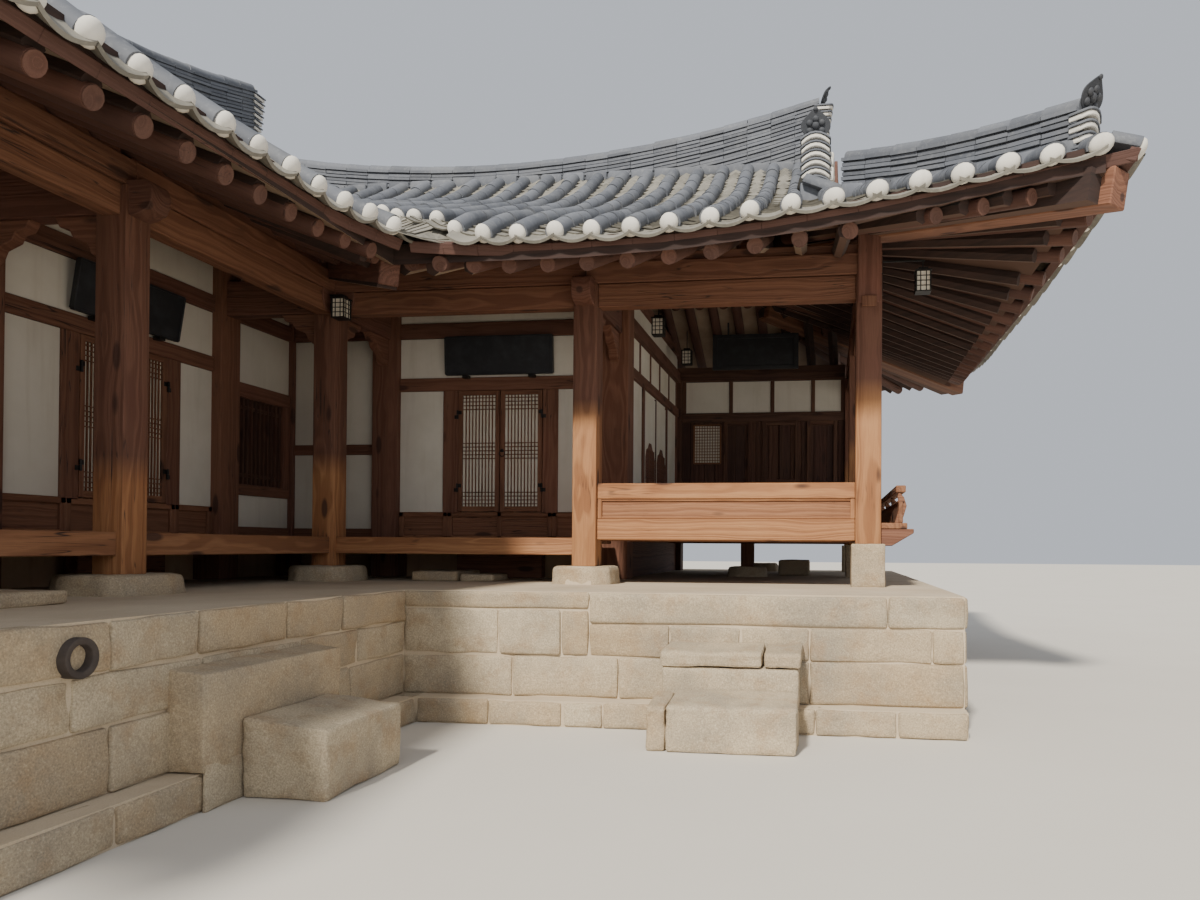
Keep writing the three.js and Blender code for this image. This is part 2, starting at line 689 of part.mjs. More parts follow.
function buildRoofShells() {
  const verge = 150;
  const inside = 400;
  const rightLines = [-eave, rearSide];
  const leftLines = [-wingDepth - eave, eave];

  const [rightTop, rightUnder] = wingVolumes(rightBend, rightRidgeSeat, 'x', rightLines,
    -wingMiddle, farSide, 12);
  const [rightEndTop, rightEndUnder] = endVolumes(rightBend, rightRidgeSeat, 'y', farSide,
    -wingMiddle - 500, -eave, rearSide, 10);
  const rightVerge = gableLine + verge;
  const nearPart = block(-9000, rightVerge, -3000, 9000, -2000, 8000);
  const farPart = block(gableLine - inside, 9000, -3000, 9000, -2000, 8000);
  const rightMain = rightTop.subtract(rightUnder).intersect(nearPart);
  const rightHip = gableEnd(rightTop, rightUnder, rightEndTop, rightEndUnder, farPart);
  const rightGable = gablePlate('x', rightLines, rightRidgeSeat, gableLine - inside + 100);
  let right = rightMain.add(rightHip).add(rightGable);
  const rightHollow = rightUnder.intersect(nearPart)
    .add(rightUnder.intersect(rightEndUnder));

  const [leftTop, leftUnder] = wingVolumes(leftBend, leftRidgeSeat, 'y', leftLines,
    nearSide, rearSide, 20);
  const [rearTop, rearUnder] = endVolumes(rightBend, rightRidgeSeat, 'x', rearSide, nearSide - 500,
    leftLines[0], leftLines[1], 10);
  const [frontTop, frontUnder] = endVolumes(leftBend, leftRidgeSeat, 'x', nearSide, rearSide + 500,
    leftLines[0], leftLines[1], 10);
  const leftVerge = leftGableLine - verge;
  const backPart = block(-9000, 3000, leftVerge, 9000, -2000, 8000);
  const frontPart = block(-9000, 3000, -12000, leftGableLine + inside, -2000, 8000);
  const leftBodyTop = leftTop.intersect(rearTop);
  const leftBodyUnder = leftUnder.intersect(rearUnder);
  const leftMain = leftBodyTop.subtract(leftBodyUnder).intersect(backPart);
  const leftHip = gableEnd(leftTop, leftUnder, frontTop, frontUnder, frontPart);
  const leftGable = gablePlate('y', leftLines, leftRidgeSeat, leftGableLine + inside - 160);
  let left = leftMain.add(leftHip).add(leftGable);
  const leftHollow = leftBodyUnder.intersect(backPart).add(leftUnder.intersect(frontUnder));

  right = right.subtract(leftHollow);
  left = left.subtract(rightHollow);
  const whole = right.add(left);
  const rightShare = sharePrism();
  return [whole.intersect(rightShare), whole.subtract(rightShare)];
}

// The triangular gable wall, set back from the verge
function gablePlate(along, lines, ridgeSeat, from) {
  const middle = (lines[0] + lines[1]) / 2;
  const s0 = 2200;
  const lift = 40;
  const outline = [
    [lines[0] + s0, underHeight(s0, ridgeSeat) + lift],
    [lines[0] + breakPoint, breakHeight + lift],
    [middle, underPeak(ridgeSeat) + lift],
    [lines[1] - breakPoint, breakHeight + lift],
    [lines[1] - s0, underHeight(s0, ridgeSeat) + lift],
  ];
  outline.reverse();
  return sectionPrism(outline, along, from, from + 60, 1);
}

// The right wing's share of the roof: everything past the valley and past the left ridge
function sharePrism() {
  const outline = [
    [-wingMiddle, 9000],
    [-wingMiddle, wingMiddle],
    [3000, -3000],
    [9000, -3000],
    [9000, 9000],
  ];
  const shape = new THREE.Shape(outline.map(([x, y]) => new THREE.Vector2(x, y)));
  const prism = new THREE.ExtrudeGeometry(shape, { depth: 10000, bevelEnabled: false });
  prism.translate(0, 0, -1000);
  return solid(prism);
}

// A straight log between two points, with its ends cut square
function log(from, to, radius, sides) {
  const a = new THREE.Vector3(...from);
  const b = new THREE.Vector3(...to);
  const direction = b.clone().sub(a);
  const cylinder = new THREE.CylinderGeometry(radius, radius, direction.length(), sides);
  cylinder.translate(0, direction.length() / 2, 0);
  const turn = new THREE.Quaternion().setFromUnitVectors(new THREE.Vector3(0, 1, 0),
    direction.normalize());
  cylinder.applyQuaternion(turn);
  cylinder.translate(a.x, a.y, a.z);
  return solid(cylinder);
}

// Underside of the roof at a plan point of the plain roof, then bent like the roof
function underPoint(x, y, drop) {
  const distances = [x + wingDepth + eave, rearSide - y];
  if (x + y > 0) distances.push(y + eave, farSide - x);
  else distances.push(eave - x, y - nearSide);
  const s = Math.min(...distances);
  return bend(x, y, underHeight(s, rightRidgeSeat) - drop + podiumTop);
}

const logDrop = rafterRadius - 15;
const tipInset = 100;

// Rafters from the inner purlin to the eave; those past the last purlin crossing fan out from
// it towards the corner
function slopeRafters(first, last, place, fanFirst, fanLast, sides) {
  const logs = [];
  const count = Math.round((last - first) / rafterSpacing);
  for (let i = 0; i <= count; i++) {
    const u = first + (last - first) * i / count;
    logs.push(log(underPoint(...place(u, breakPoint + 60), logDrop),
      underPoint(...place(u, tipInset), logDrop), rafterRadius, sides));
  }
  for (const [pivot, tips] of [fanFirst, fanLast]) {
    for (const u of tips) {
      const start = pivot + (u - pivot) * 0.3;
      logs.push(log(underPoint(...place(start, breakPoint * 0.7), logDrop),
        underPoint(...place(u, tipInset), logDrop), rafterRadius, sides));
    }
  }
  return logs;
}

const none = [0, []];
// Fanned tips past a corner column; inner ones fill the bay before it where no rafter runs straight
function fanTips(line, away, inner = 0) {
  const tips = [0.15, 0.36, 0.57, 0.78].map((share) => line + away * share * eave);
  for (let i = 1; i <= inner; i++) {
    tips.push(line - away * (verandaDepth - i * rafterSpacing));
  }
  return tips;
}

function cornerRafter(corner, width, grow = 0) {
  const [cornerX, cornerY, outX, outY] = corner;
  const from = underPoint(cornerX - outX * breakPoint, cornerY - outY * breakPoint, 150);
  const to = underPoint(cornerX - outX * 40, cornerY - outY * 40, 130);
  return diagonalBeam(from, to, width + grow, 240 + grow);
}

function diagonalBeam(from, to, width, height) {
  const a = new THREE.Vector3(...from);
  const b = new THREE.Vector3(...to);
  const direction = b.clone().sub(a);
  const beam = new THREE.BoxGeometry(direction.length(), width, height);
  beam.translate(direction.length() / 2, 0, 0);
  const flat = Math.atan2(direction.y, direction.x);
  const pitch = Math.atan2(direction.z, Math.hypot(direction.x, direction.y));
  beam.rotateY(-pitch);
  beam.rotateZ(flat);
  beam.translate(a.x, a.y, a.z);
  return solid(beam);
}

function buildRoof() {
  const [rightShell, leftShell] = buildRoofShells();
  const front = (u, s) => [u, -eave + s];
  const rear = (u, s) => [u, rearSide - s];
  const farEnd = (u, s) => [farSide - s, u];
  const court = (u, s) => [eave - s, u];
  const nearEnd = (u, s) => [u, nearSide + s];
  const backSide = (u, s) => [-wingDepth - eave + s, u];
  const step = rafterSpacing;

  const rightLogs = [
    ...slopeRafters(step * 5, rightEnd - step, front, none,
      [rightEnd - verandaDepth, fanTips(rightEnd, 1)], 6),
    ...slopeRafters(-wingMiddle + step, rightEnd - step, rear, none,
      [rightEnd - verandaDepth, fanTips(rightEnd, 1)], 4),
    ...slopeRafters(verandaDepth, wingDepth - verandaDepth, farEnd,
      [verandaDepth, fanTips(0, -1, 3)], [wingDepth - verandaDepth, fanTips(wingDepth, 1, 3)], 6),
    cornerRafter(outerCorners[0], 200),
    cornerRafter(outerCorners[1], 200),
  ];
  for (let u = step; u < step * 5 - 10; u += step) {
    rightLogs.push(log(underPoint(u, verandaDepth + 60, logDrop),
      underPoint(u, -u + 220, logDrop), rafterRadius, 6));
  }
  const leftLogs = [
    ...slopeRafters(leftEnd + step, -step * 5, court,
      [leftEnd + verandaDepth, fanTips(leftEnd, -1)], none, 6),
    ...slopeRafters(leftEnd + verandaDepth, wingDepth - verandaDepth, backSide,
      [leftEnd + verandaDepth, fanTips(leftEnd, -1, 3)],
      [wingDepth - verandaDepth, fanTips(wingDepth, 1, 3)], 4),
    ...slopeRafters(-wingDepth + verandaDepth, -wingMiddle - step, rear,
      [-wingDepth + verandaDepth, fanTips(-wingDepth, -1, 3)], none, 4),
    ...slopeRafters(-wingDepth + verandaDepth, -verandaDepth, nearEnd,
      [-wingDepth + verandaDepth, fanTips(-wingDepth, -1, 3)],
      [-verandaDepth, fanTips(0, 1, 3)], 4),
    cornerRafter(outerCorners[2], 200),
    cornerRafter(outerCorners[3], 200),
    cornerRafter(outerCorners[4], 200),
  ];
  for (let u = step; u < step * 5 - 10; u += step) {
    leftLogs.push(log(underPoint(-verandaDepth - 60, -u, logDrop),
      underPoint(u - 220, -u, logDrop), rafterRadius, 6));
  }
  const valleyFrom = underPoint(-900, 900, 130);
  const valleyTo = underPoint(1300, -1300, 100);
  const valleyRafter = diagonalBeam(valleyFrom, valleyTo, 170, 220);
  const rightRoof = largest(join([rightShell, ...rightLogs])
    .subtract(diagonalBeam(valleyFrom, valleyTo, 172, 222)));
  const leftRoof = largest(join([leftShell, ...leftLogs, valleyRafter]).subtract(rightRoof)
    .subtract(rightRoof.translate([-seat, -seat, 0])));
  return [rightRoof, leftRoof];
}

// The body without the tiny closed pockets that are left between logs and boards
function largest(body) {
  return body.decompose().reduce((best, piece) => (piece.volume() > best.volume() ? piece : best));
}

const roofs = [];

// What is left of a beam below the roof, with a small gap to the rafters
function underRoof(beam) {
  let rest = beam;
  for (const roof of roofs) {
    rest = rest.subtract(roof).subtract(roof.translate([0, 0, seat]));
    for (const [dx, dy] of [[seat, 0], [-seat, 0], [0, seat], [0, -seat]]) {
      rest = rest.subtract(roof.translate([dx, dy, -seat]));
    }
  }
  return largest(rest).simplify(0.02);
}

function addRoof() {
  const [rightRoof, leftRoof] = buildRoof();
  roofs.push(rightRoof, leftRoof);
  add('roof_right', tile, surface(rightRoof));
  add('roof_left', tile, surface(leftRoof));
}

// A wall of ridge tiles along a path on the roof: each point is [x, y, base, top]
function ridgeStrip(points, width) {
  const positions = [];
  const index = [];
  points.forEach(([x, y, base, top], i) => {
    const before = points[Math.max(0, i - 1)];
    const after = points[Math.min(points.length - 1, i + 1)];
    const side = new THREE.Vector2(before[1] - after[1], after[0] - before[0]).normalize();
    side.multiplyScalar(width / 2);
    for (const [sign, z] of [[-1, base], [1, base], [1, top], [-1, top]]) {
      positions.push(x + sign * side.x, y + sign * side.y, z);
    }
  });
  for (let i = 0; i < points.length - 1; i++) {
    for (let k = 0; k < 4; k++) {
      const a = i * 4 + k;
      const b = i * 4 + (k + 1) % 4;
      index.push(a, b, b + 4, a, b + 4, a + 4);
    }
  }
  const last = (points.length - 1) * 4;
  index.push(0, 3, 2, 0, 2, 1, last, last + 1, last + 2, last, last + 2, last + 3);
  const geometry = new THREE.BufferGeometry();
  geometry.setAttribute('position', new THREE.Float32BufferAttribute(positions, 3));
  geometry.setIndex(index);
  return solid(geometry);
}

function roofPoint(x, y, bendValue, s, sink, height) {
  const base = bend(x, y, tileHeight(s, bendValue) + podiumTop);
  return [base[0], base[1], base[2] - sink, base[2] + height];
}

// Main ridge: level in the middle, rising at its free end
function mainRidge(name, from, to, seatHeight, place, heightAt) {
  const points = [];
  const steps = 8;
  for (let i = 0; i <= steps; i++) {
    const u = from + (to - from) * i / steps;
    const [x, y] = place(u);
    points.push([x, y, seatHeight + podiumTop, seatHeight + heightAt(i / steps) + podiumTop]);
  }
  let ridge = ridgeStrip(points, 260);
  for (const roof of roofs) ridge = ridge.subtract(roof);
  add(name, tile, surface(ridge.translate([0, 0, seat])));
}

// Ridge down the gable's edge and on along the hip to the corner
function hipRidge(name, gable, corner, bendValue, edge) {
  const points = [...gable];
  const [cornerX, cornerY, outX, outY] = corner;
  for (let i = 0; i <= 5; i++) {
    const s = edge + (150 - edge) * i / 5;
    points.push(roofPoint(cornerX - outX * s, cornerY - outY * s, bendValue, s, 50, hipHeight));
  }
  let ridge = ridgeStrip(points, 240);
  for (const roof of roofs) ridge = ridge.subtract(roof);
  add(name, tile, surface(ridge.translate([0, 0, seat])));
}

function buildRidges() {
  // Both main ridges sag between their ends
  mainRidge('ridge_right', -2150, gableLine - 40, rightRidgeSeat, (u) => [u, wingMiddle],
    (t) => 310 + 1660 * (t - 0.387) ** 2);
  mainRidge('ridge_left', leftGableLine - 130, 2300, leftRidgeSeat,
    (u) => [-wingMiddle, u], (t) => 200 + 4000 * Math.max(0, t - 0.62) ** 1.6);
  const gableReach = farSide - gableLine;
  // Down the gable's edge the ridge grows taller towards its free end
  const gableDown = (place, bendValue) => {
    const points = [];
    for (let i = 0; i < 5; i++) {
      const s = halfSpan - 200 + (gableReach + 50 - halfSpan + 200) * i / 4;
      const [x, y] = place(s);
      points.push(roofPoint(x, y, bendValue, s, 50, 430 + (gableRidgeHeight - 400) * (i / 4) ** 2));
    }
    return points;
  };
  const hipStart = gableReach - 150;
  const inset = 50;
  const rightFront = gableDown((s) => [gableLine - inset, -eave + s], rightBend);
  const rightRear = gableDown((s) => [gableLine - inset, rearSide - s], rightBend);
  const leftCourt = gableDown((s) => [eave - s, leftGableLine + inset], leftBend);
  const leftFront = gableDown((s) => [-wingDepth - eave + s, leftGableLine + inset], leftBend);
  hipRidge('hip_right_front', rightFront, outerCorners[0], rightBend, hipStart);
  hipRidge('hip_right_rear', rightRear, outerCorners[1], rightBend, hipStart);
  hipRidge('hip_left_court', leftCourt, outerCorners[4], leftBend, hipStart);
  hipRidge('hip_left_front', leftFront, outerCorners[3], leftBend, hipStart);
  hipRidge('hip_left_rear', [], outerCorners[2], rightBend, halfSpan - 350);
}

buildPodium();
buildSteps();
buildDrain();
buildColumns();
addRoof();
buildFrontBeams();
buildRightSide();
buildDoors();
buildCornerWalls();
buildFarBays();
buildOuterWalls();
buildPavilion();
buildVeranda();
buildRoomFloor();
buildBoards();
buildRidges();

const part = new THREE.Group();
part.add(house);
export default part;
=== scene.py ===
# Courtyard house with two wings in an L: tiled roofs, pine frame, plaster walls, granite podium.
# Plan coordinates below are in metres from the corner column's middle: x runs along the right
# wing, y away from the courtyard, and z is height above the podium.
import math
import random
import bpy
import numpy as np
from mathutils import Matrix, Vector


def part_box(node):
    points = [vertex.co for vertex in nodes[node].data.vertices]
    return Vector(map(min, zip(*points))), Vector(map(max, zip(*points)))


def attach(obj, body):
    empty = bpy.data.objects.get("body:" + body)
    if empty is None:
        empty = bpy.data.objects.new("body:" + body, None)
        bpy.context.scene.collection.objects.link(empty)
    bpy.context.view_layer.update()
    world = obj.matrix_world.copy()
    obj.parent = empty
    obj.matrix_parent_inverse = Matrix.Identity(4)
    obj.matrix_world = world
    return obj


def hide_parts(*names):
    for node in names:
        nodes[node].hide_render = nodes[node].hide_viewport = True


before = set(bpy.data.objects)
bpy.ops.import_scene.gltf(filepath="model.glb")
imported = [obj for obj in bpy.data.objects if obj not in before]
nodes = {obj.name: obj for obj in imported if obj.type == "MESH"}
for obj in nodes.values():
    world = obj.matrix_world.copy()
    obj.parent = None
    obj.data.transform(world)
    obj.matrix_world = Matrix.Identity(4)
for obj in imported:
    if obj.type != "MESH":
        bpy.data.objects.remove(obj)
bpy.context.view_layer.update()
cornerLow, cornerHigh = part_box("column_corner")
origin = Vector(((cornerLow.x + cornerHigh.x) / 2, (cornerLow.y + cornerHigh.y) / 2, 1.04))
random.seed(7)
print("frame loaded with", len(nodes), "solids")

plan = {"bay": 2.73, "depth": 5.15, "veranda": 1.27, "eave": 1.4, "column": 0.24}
bay = plan["bay"]
depth = plan["depth"]
wallLine, eave = plan["veranda"], plan["eave"]
half = plan["column"] / 2
rightEnd = 2 * bay
leftEnd = -3 * bay


# Small helpers
def clearPick():
    bpy.ops.object.select_all(action="DESELECT")


def pick(*objects):
    clearPick()
    for ob in objects:
        ob.select_set(True)
    bpy.context.view_layer.objects.active = objects[0]


def settle(ob):
    pick(ob)
    bpy.ops.object.transform_apply(location=True, rotation=True, scale=True)
    return ob


def addBox(x0, x1, y0, y1, z0, z1):
    clearPick()
    middle = ((x0 + x1) / 2, (y0 + y1) / 2, (z0 + z1) / 2)
    size = (abs(x1 - x0), abs(y1 - y0), abs(z1 - z0))
    bpy.ops.mesh.primitive_cube_add(size=1, location=middle, scale=size)
    return settle(bpy.context.object)


def addRod(sides, radius, length, place=(0, 0, 0), turn=(0, 0, 0)):
    clearPick()
    bpy.ops.mesh.primitive_cylinder_add(vertices=sides, radius=radius, depth=length, location=place,
                                        rotation=turn)
    return settle(bpy.context.object)


def points(ob):
    flat = np.empty(len(ob.data.vertices) * 3)
    ob.data.vertices.foreach_get("co", flat)
    return flat.reshape(-1, 3)


def setPoints(ob, places):
    ob.data.vertices.foreach_set("co", np.asarray(places, float).ravel())
    ob.data.update()


def mark(ob, name, values):
    kind = "FLOAT_VECTOR" if np.ndim(values) == 2 else "FLOAT"
    field = ob.data.attributes.get(name) or ob.data.attributes.new(name, kind, "POINT")
    key = "vector" if kind == "FLOAT_VECTOR" else "value"
    field.data.foreach_set(key, np.asarray(values, np.float32).ravel())


def markTone(ob, tone=None):
    mark(ob, "tone", np.full(len(ob.data.vertices), random.random() if tone is None else tone))
    return ob


# Each timber keeps its own log coordinates, so that the grain follows the member
def markGrain(ob, along, wearAndSun=0.2, heart=0.7):
    places = points(ob)
    low = places.min(0)
    high = places.max(0)
    order = {"x": (0, 1, 2), "y": (1, 0, 2), "z": (2, 0, 1)}[along]
    log = (places - (low + high) / 2)[:, order]
    size = (high - low)[list(order)]
    log[:, 0] += random.uniform(0, 60)
    log[:, 1] += random.uniform(-heart, heart) * size[1]
    log[:, 2] += random.uniform(-heart, heart) * size[2]
    mark(ob, "grain", log)
    mark(ob, "wearAndSun", np.full(len(places), wearAndSun))
    return markTone(ob)


def timber(x0, x1, y0, y1, z0, z1, wearAndSun=0.2, along=None, heart=0.7):
    ob = addBox(x0, x1, y0, y1, z0, z1)
    sizes = {"x": abs(x1 - x0), "y": abs(y1 - y0), "z": abs(z1 - z0)}
    return markGrain(ob, along or max(sizes, key=sizes.get), wearAndSun, heart)


def panel(x0, x1, y0, y1, z0, z1):
    return markTone(addBox(x0, x1, y0, y1, z0, z1))


# The right wing's boxes run along x and the left wing's along y, with v going into the wing
def spanRight(u0, u1, v0, v1, z0, z1):
    return (u0, u1, v0, v1, z0, z1)


def spanLeft(u0, u1, v0, v1, z0, z1):
    return (-v1, -v0, u0, u1, z0, z1)


def join(name, parts):
    pick(*parts)
    if len(parts) > 1:
        bpy.ops.object.join()
    ob = bpy.context.view_layer.objects.active
    ob.name = name
    ob.data.name = name
    return ob


def useModifier(ob, kind, **values):
    pick(ob)
    modifier = ob.modifiers.new(kind.title(), kind)
    for key, value in values.items():
        setattr(modifier, key, value)
    bpy.ops.object.modifier_apply(modifier=modifier.name)
    return ob


def soften(ob, width, segments=1, angle=40):
    return useModifier(ob, "BEVEL", width=width, segments=segments, limit_method="ANGLE",
                       angle_limit=math.radians(angle), use_clamp_overlap=True)


def finish(ob, material, replaced=(), body="house", smooth=None):
    ob.data.materials.clear()
    ob.data.materials.append(material)
    if smooth is not None:
        pick(ob)
        bpy.ops.object.shade_smooth_by_angle(angle=math.radians(smooth))
    ob.data.transform(Matrix.Translation(origin))
    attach(ob, body)
    if replaced:
        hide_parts(*replaced)
    return ob


# One shape copied to each place, every copy with its own mesh and its own tone
def copyTo(model, places, name):
    copies = []
    for place in places:
        twin = model.copy()
        twin.data = model.data.copy()
        twin.data.transform(place)
        bpy.context.scene.collection.objects.link(twin)
        copies.append(markTone(twin))
    return join(name, copies)


def discard(*objects):
    for ob in objects:
        bpy.data.objects.remove(ob)


# Solids that keep their shape and only take a new surface
def recolor(material, *names):
    for name in names:
        nodes[name].data.materials.clear()
        nodes[name].data.materials.append(material)


def cutAcross(ob, places, normal, **more):
    pick(ob)
    bpy.ops.object.mode_set(mode="EDIT")
    for place in places:
        bpy.ops.mesh.select_all(action="SELECT")
        bpy.ops.mesh.bisect(plane_co=place, plane_no=normal, **more)
    bpy.ops.object.mode_set(mode="OBJECT")


# Material helpers
def newMaterial(name, roughness=0.85):
    material = bpy.data.materials.new(name)
    material.use_nodes = True
    shader = material.node_tree.nodes["Principled BSDF"]
    shader.inputs["Roughness"].default_value = roughness
    return material, material.node_tree, shader


def addNode(tree, kind, inputs=None, **settings):
    made = tree.nodes.new("ShaderNode" + kind)
    for key, value in settings.items():
        setattr(made, key, value)
    for key, value in (inputs or {}).items():
        if isinstance(value, bpy.types.NodeSocket):
            tree.links.new(value, made.inputs[key])
        else:
            made.inputs[key].default_value = value
    return made


def calc(tree, operation, *values):
    inputs = {i: v for i, v in enumerate(values)}
    return addNode(tree, "Math", inputs, operation=operation).outputs[0]


def noise(tree, vector, scale, detail=3.0, roughness=0.55, **more):
    made = addNode(tree, "TexNoise", {"Scale": scale, "Detail": detail, "Roughness": roughness},
                   **more)
    if vector is not None:
        tree.links.new(vector, made.inputs["Vector"])
    return made.outputs["Fac"]


def ramp(tree, value, low, high, start=0.0, end=1.0):
    return addNode(tree, "MapRange", {"Value": value, "From Min": low, "From Max": high,
                                      "To Min": start, "To Max": end}).outputs["Result"]


def mixColor(tree, factor, a, b, blend="MIX"):
    made = tree.nodes.new("ShaderNodeMix")
    made.data_type = "RGBA"
    made.blend_type = blend
    for socket, value in ((made.inputs[0], factor), (made.inputs[6], a), (made.inputs[7], b)):
        if isinstance(value, bpy.types.NodeSocket):
            tree.links.new(value, socket)
        elif isinstance(value, (int, float)):
            socket.default_value = value
        else:
            socket.default_value = (*value, 1)
    return made.outputs[2]


def field(tree, name, output="Fac"):
    return addNode(tree, "Attribute", attribute_name=name).outputs[output]


def objectPlace(tree, scale=(1, 1, 1)):
    place = addNode(tree, "TexCoord").outputs["Object"]
    return addNode(tree, "Mapping", {"Vector": place, "Scale": scale}).outputs["Vector"]


def addBumps(tree, shader, *bumps):
    previous = None
    for height, strength, distance in bumps:
        made = addNode(tree, "Bump", {"Height": height, "Strength": strength, "Distance": distance})
        if previous:
            tree.links.new(previous, made.inputs["Normal"])
        previous = made.outputs["Normal"]
    tree.links.new(previous, shader.inputs["Normal"])


# A surface has a base colour and tints, each let through where a pattern lies between two levels
def surface(name, roughness, patterns, base, tints, bumps=(), metal=0.0):
    material, tree, shader = newMaterial(name, roughness)
    shader.inputs["Metallic"].default_value = metal
    place = objectPlace(tree)
    seen = {"tone": field(tree, "tone")}
    for key, (scale, *more) in patterns.items():
        if key == "specks":
            seen[key] = addNode(tree, "TexVoronoi",
                                {"Vector": place, "Scale": scale}).outputs["Distance"]
        elif isinstance(scale, tuple):
            seen[key] = noise(tree, objectPlace(tree, scale), 1.0, *more)
        else:
            seen[key] = noise(tree, place, scale, *more)
    color = base
    for key, low, high, start, end, tint in tints:
        color = mixColor(tree, ramp(tree, seen[key], low, high, start, end), color, tint)
    tree.links.new(color, shader.inputs["Base Color"])
    if bumps:
        addBumps(tree, shader, *[(seen[key], *size) for key, *size in bumps])
    return material


# Pine: rings round a wandering heart, fibres, knots and drying cracks, paler where it is worn, and
# on the columns' feet paler as painted sunlight
def pineMaterial(name, look):
    material, tree, shader = newMaterial(name, look["roughness"])
    grain = field(tree, "grain", "Vector")

    def stretched(*scale):
        return addNode(tree, "Mapping", {"Vector": grain, "Scale": scale}).outputs["Vector"]

    def vectors(operation, *values):
        return addNode(tree, "VectorMath", dict(enumerate(values)), operation=operation).outputs

    wander = addNode(tree, "TexNoise", {"Vector": stretched(0.9, 3.0, 3.0), "Scale": 1.3,
                                        "Detail": 2.0}).outputs["Color"]
    shifted = vectors("SUBTRACT", wander, (0.5, 0.5, 0.5))[0]
    bent = vectors("MULTIPLY_ADD", shifted, (0.2, look["wander"], look["wander"]), grain)[0]
    radius = vectors("LENGTH", vectors("MULTIPLY", bent, (0, 1, 1))[0])["Value"]
    rings = addNode(tree, "TexNoise", {"W": calc(tree, "MULTIPLY", radius, look["rings"]),
                                       "Scale": 1.0, "Detail": 1.0}, noise_dimensions="1D")
    lines = ramp(tree, rings.outputs["Fac"], 0.42, 0.6)
    fibres = noise(tree, stretched(5, 150, 150), 1.0, 2.0)
    blotch = noise(tree, objectPlace(tree), 1.1, 4.0, 0.6)
    knots = addNode(tree, "TexVoronoi", {"Vector": stretched(1.6, 5.0, 5.0), "Scale": 1.0,
                                         "Randomness": 1.0}).outputs["Distance"]
    knot = ramp(tree, knots, 0.13, 0.2, 1.0, 0.0)
    crackLine = calc(tree, "SUBTRACT", noise(tree, stretched(0.9, 24, 24), 1.0, 1.0), 0.5)
    crack = calc(tree, "MULTIPLY", ramp(tree, calc(tree, "ABSOLUTE", crackLine), 0.004, 0.016, 1.0,
                                        0.0), ramp(tree, blotch, 0.5, 0.62))
    base = mixColor(tree, field(tree, "tone"), look["deep"], look["red"])
    base = mixColor(tree, ramp(tree, blotch, 0.35, 0.7), base, look["dusk"])
    worn = mixColor(tree, ramp(tree, blotch, 0.3, 0.7), look["worn"], look["wornDeep"])
    share = calc(tree, "MULTIPLY", calc(tree, "SUBTRACT", blotch, 0.5), 0.5)
    # the wearAndSun attribute lifts the pale colour: real wear, and painted sunlight on the
    # columns' feet
    share = calc(tree, "ADD", field(tree, "wearAndSun"), share)
    base = mixColor(tree, addNode(tree, "Clamp", {"Value": share}).outputs[0], base, worn)
    dark = mixColor(tree, 1.0, base, look["ringTint"], "MULTIPLY")
    for pattern, strength, tint in ((lines, look["contrast"], dark),
                                    (ramp(tree, fibres, 0.4, 0.75), 0.35, dark),
                                    (knot, 0.85, (0.045, 0.018, 0.011)),
                                    (crack, 0.9, (0.02, 0.012, 0.01))):
        base = mixColor(tree, calc(tree, "MULTIPLY", pattern, strength), base, tint)
    tree.links.new(base, shader.inputs["Base Color"])
    relief = calc(tree, "SUBTRACT", calc(tree, "MULTIPLY", fibres, 0.3), lines)
    relief = calc(tree, "SUBTRACT", relief, calc(tree, "MULTIPLY", crack, 2.0))
    addBumps(tree, shader, (relief, 0.5, 0.004))
    return material


pineLook = {"roughness": 0.78, "wander": 0.11, "rings": 42.0, "contrast": 0.5,
            "deep": (0.13, 0.054, 0.036), "red": (0.215, 0.09, 0.058),
            "dusk": (0.12, 0.056, 0.041), "worn": (0.47, 0.235, 0.098),
            "wornDeep": (0.36, 0.155, 0.062), "ringTint": (0.42, 0.3, 0.24)}
# A still darker copy of the pine for the window boards, the post under the pavilion floor and the
# pavilion's rear wall: painted shade
shadedDarkLook = dict(pineLook, deep=(0.075, 0.034, 0.024), red=(0.12, 0.05, 0.032),
                dusk=(0.055, 0.028, 0.022), contrast=0.6)
# A darker copy of the pine for the rafters and eave boards under the eaves: painted shade
shadedRafterLook = dict(pineLook, deep=(0.085, 0.04, 0.03), red=(0.14, 0.062, 0.042),
                  worn=(0.26, 0.14, 0.09), wornDeep=(0.18, 0.09, 0.055), contrast=0.35)
pine = pineMaterial("weatheredPine", pineLook)
shadedRafterPine = pineMaterial("shadedRafterPine", shadedRafterLook)
shadedDarkPine = pineMaterial("shadedDarkPine", shadedDarkLook)


# Lime plaster, slightly mottled, with streaks
def plasterSurface(name, pale, dim, stain):
    return surface(name, 0.92, {"cloud": (1.6, 5.0, 0.6), "streaks": ((9, 9, 0.8), 3.0),
                                "grit": (160.0, 2.0)}, pale,
                   [("cloud", 0.3, 0.75, 0.0, 1.0, dim), ("streaks", 0.55, 0.8, 0.0, 0.35, stain),
                    ("tone", 0.0, 1.0, 0.0, 0.25, stain)],
                   [("cloud", 0.25, 0.01), ("grit", 0.25, 0.0015)])


plaster = plasterSurface("limePlaster", (0.74, 0.7, 0.61), (0.62, 0.575, 0.49), (0.46, 0.4, 0.31))
mortar = plasterSurface("whiteMortar", (0.83, 0.795, 0.71), (0.7, 0.665, 0.585), (0.42, 0.39, 0.34))
clayFill = plasterSurface("clayFill", (0.46, 0.315, 0.19), (0.33, 0.2, 0.115), (0.2, 0.11, 0.065))

# Door paper: warm, thin, faintly uneven
paper = surface("doorPaper", 0.7, {"cloud": (3.0, 4.0), "fibre": ((60, 60, 22), 3.0)},
                (0.78, 0.74, 0.64), [("cloud", 0.3, 0.7, 0.0, 1.0, (0.68, 0.62, 0.5)),
                                     ("fibre", 0.6, 0.75, 0.0, 0.3, (0.55, 0.48, 0.36))],
                [("fibre", 0.1, 0.001)])

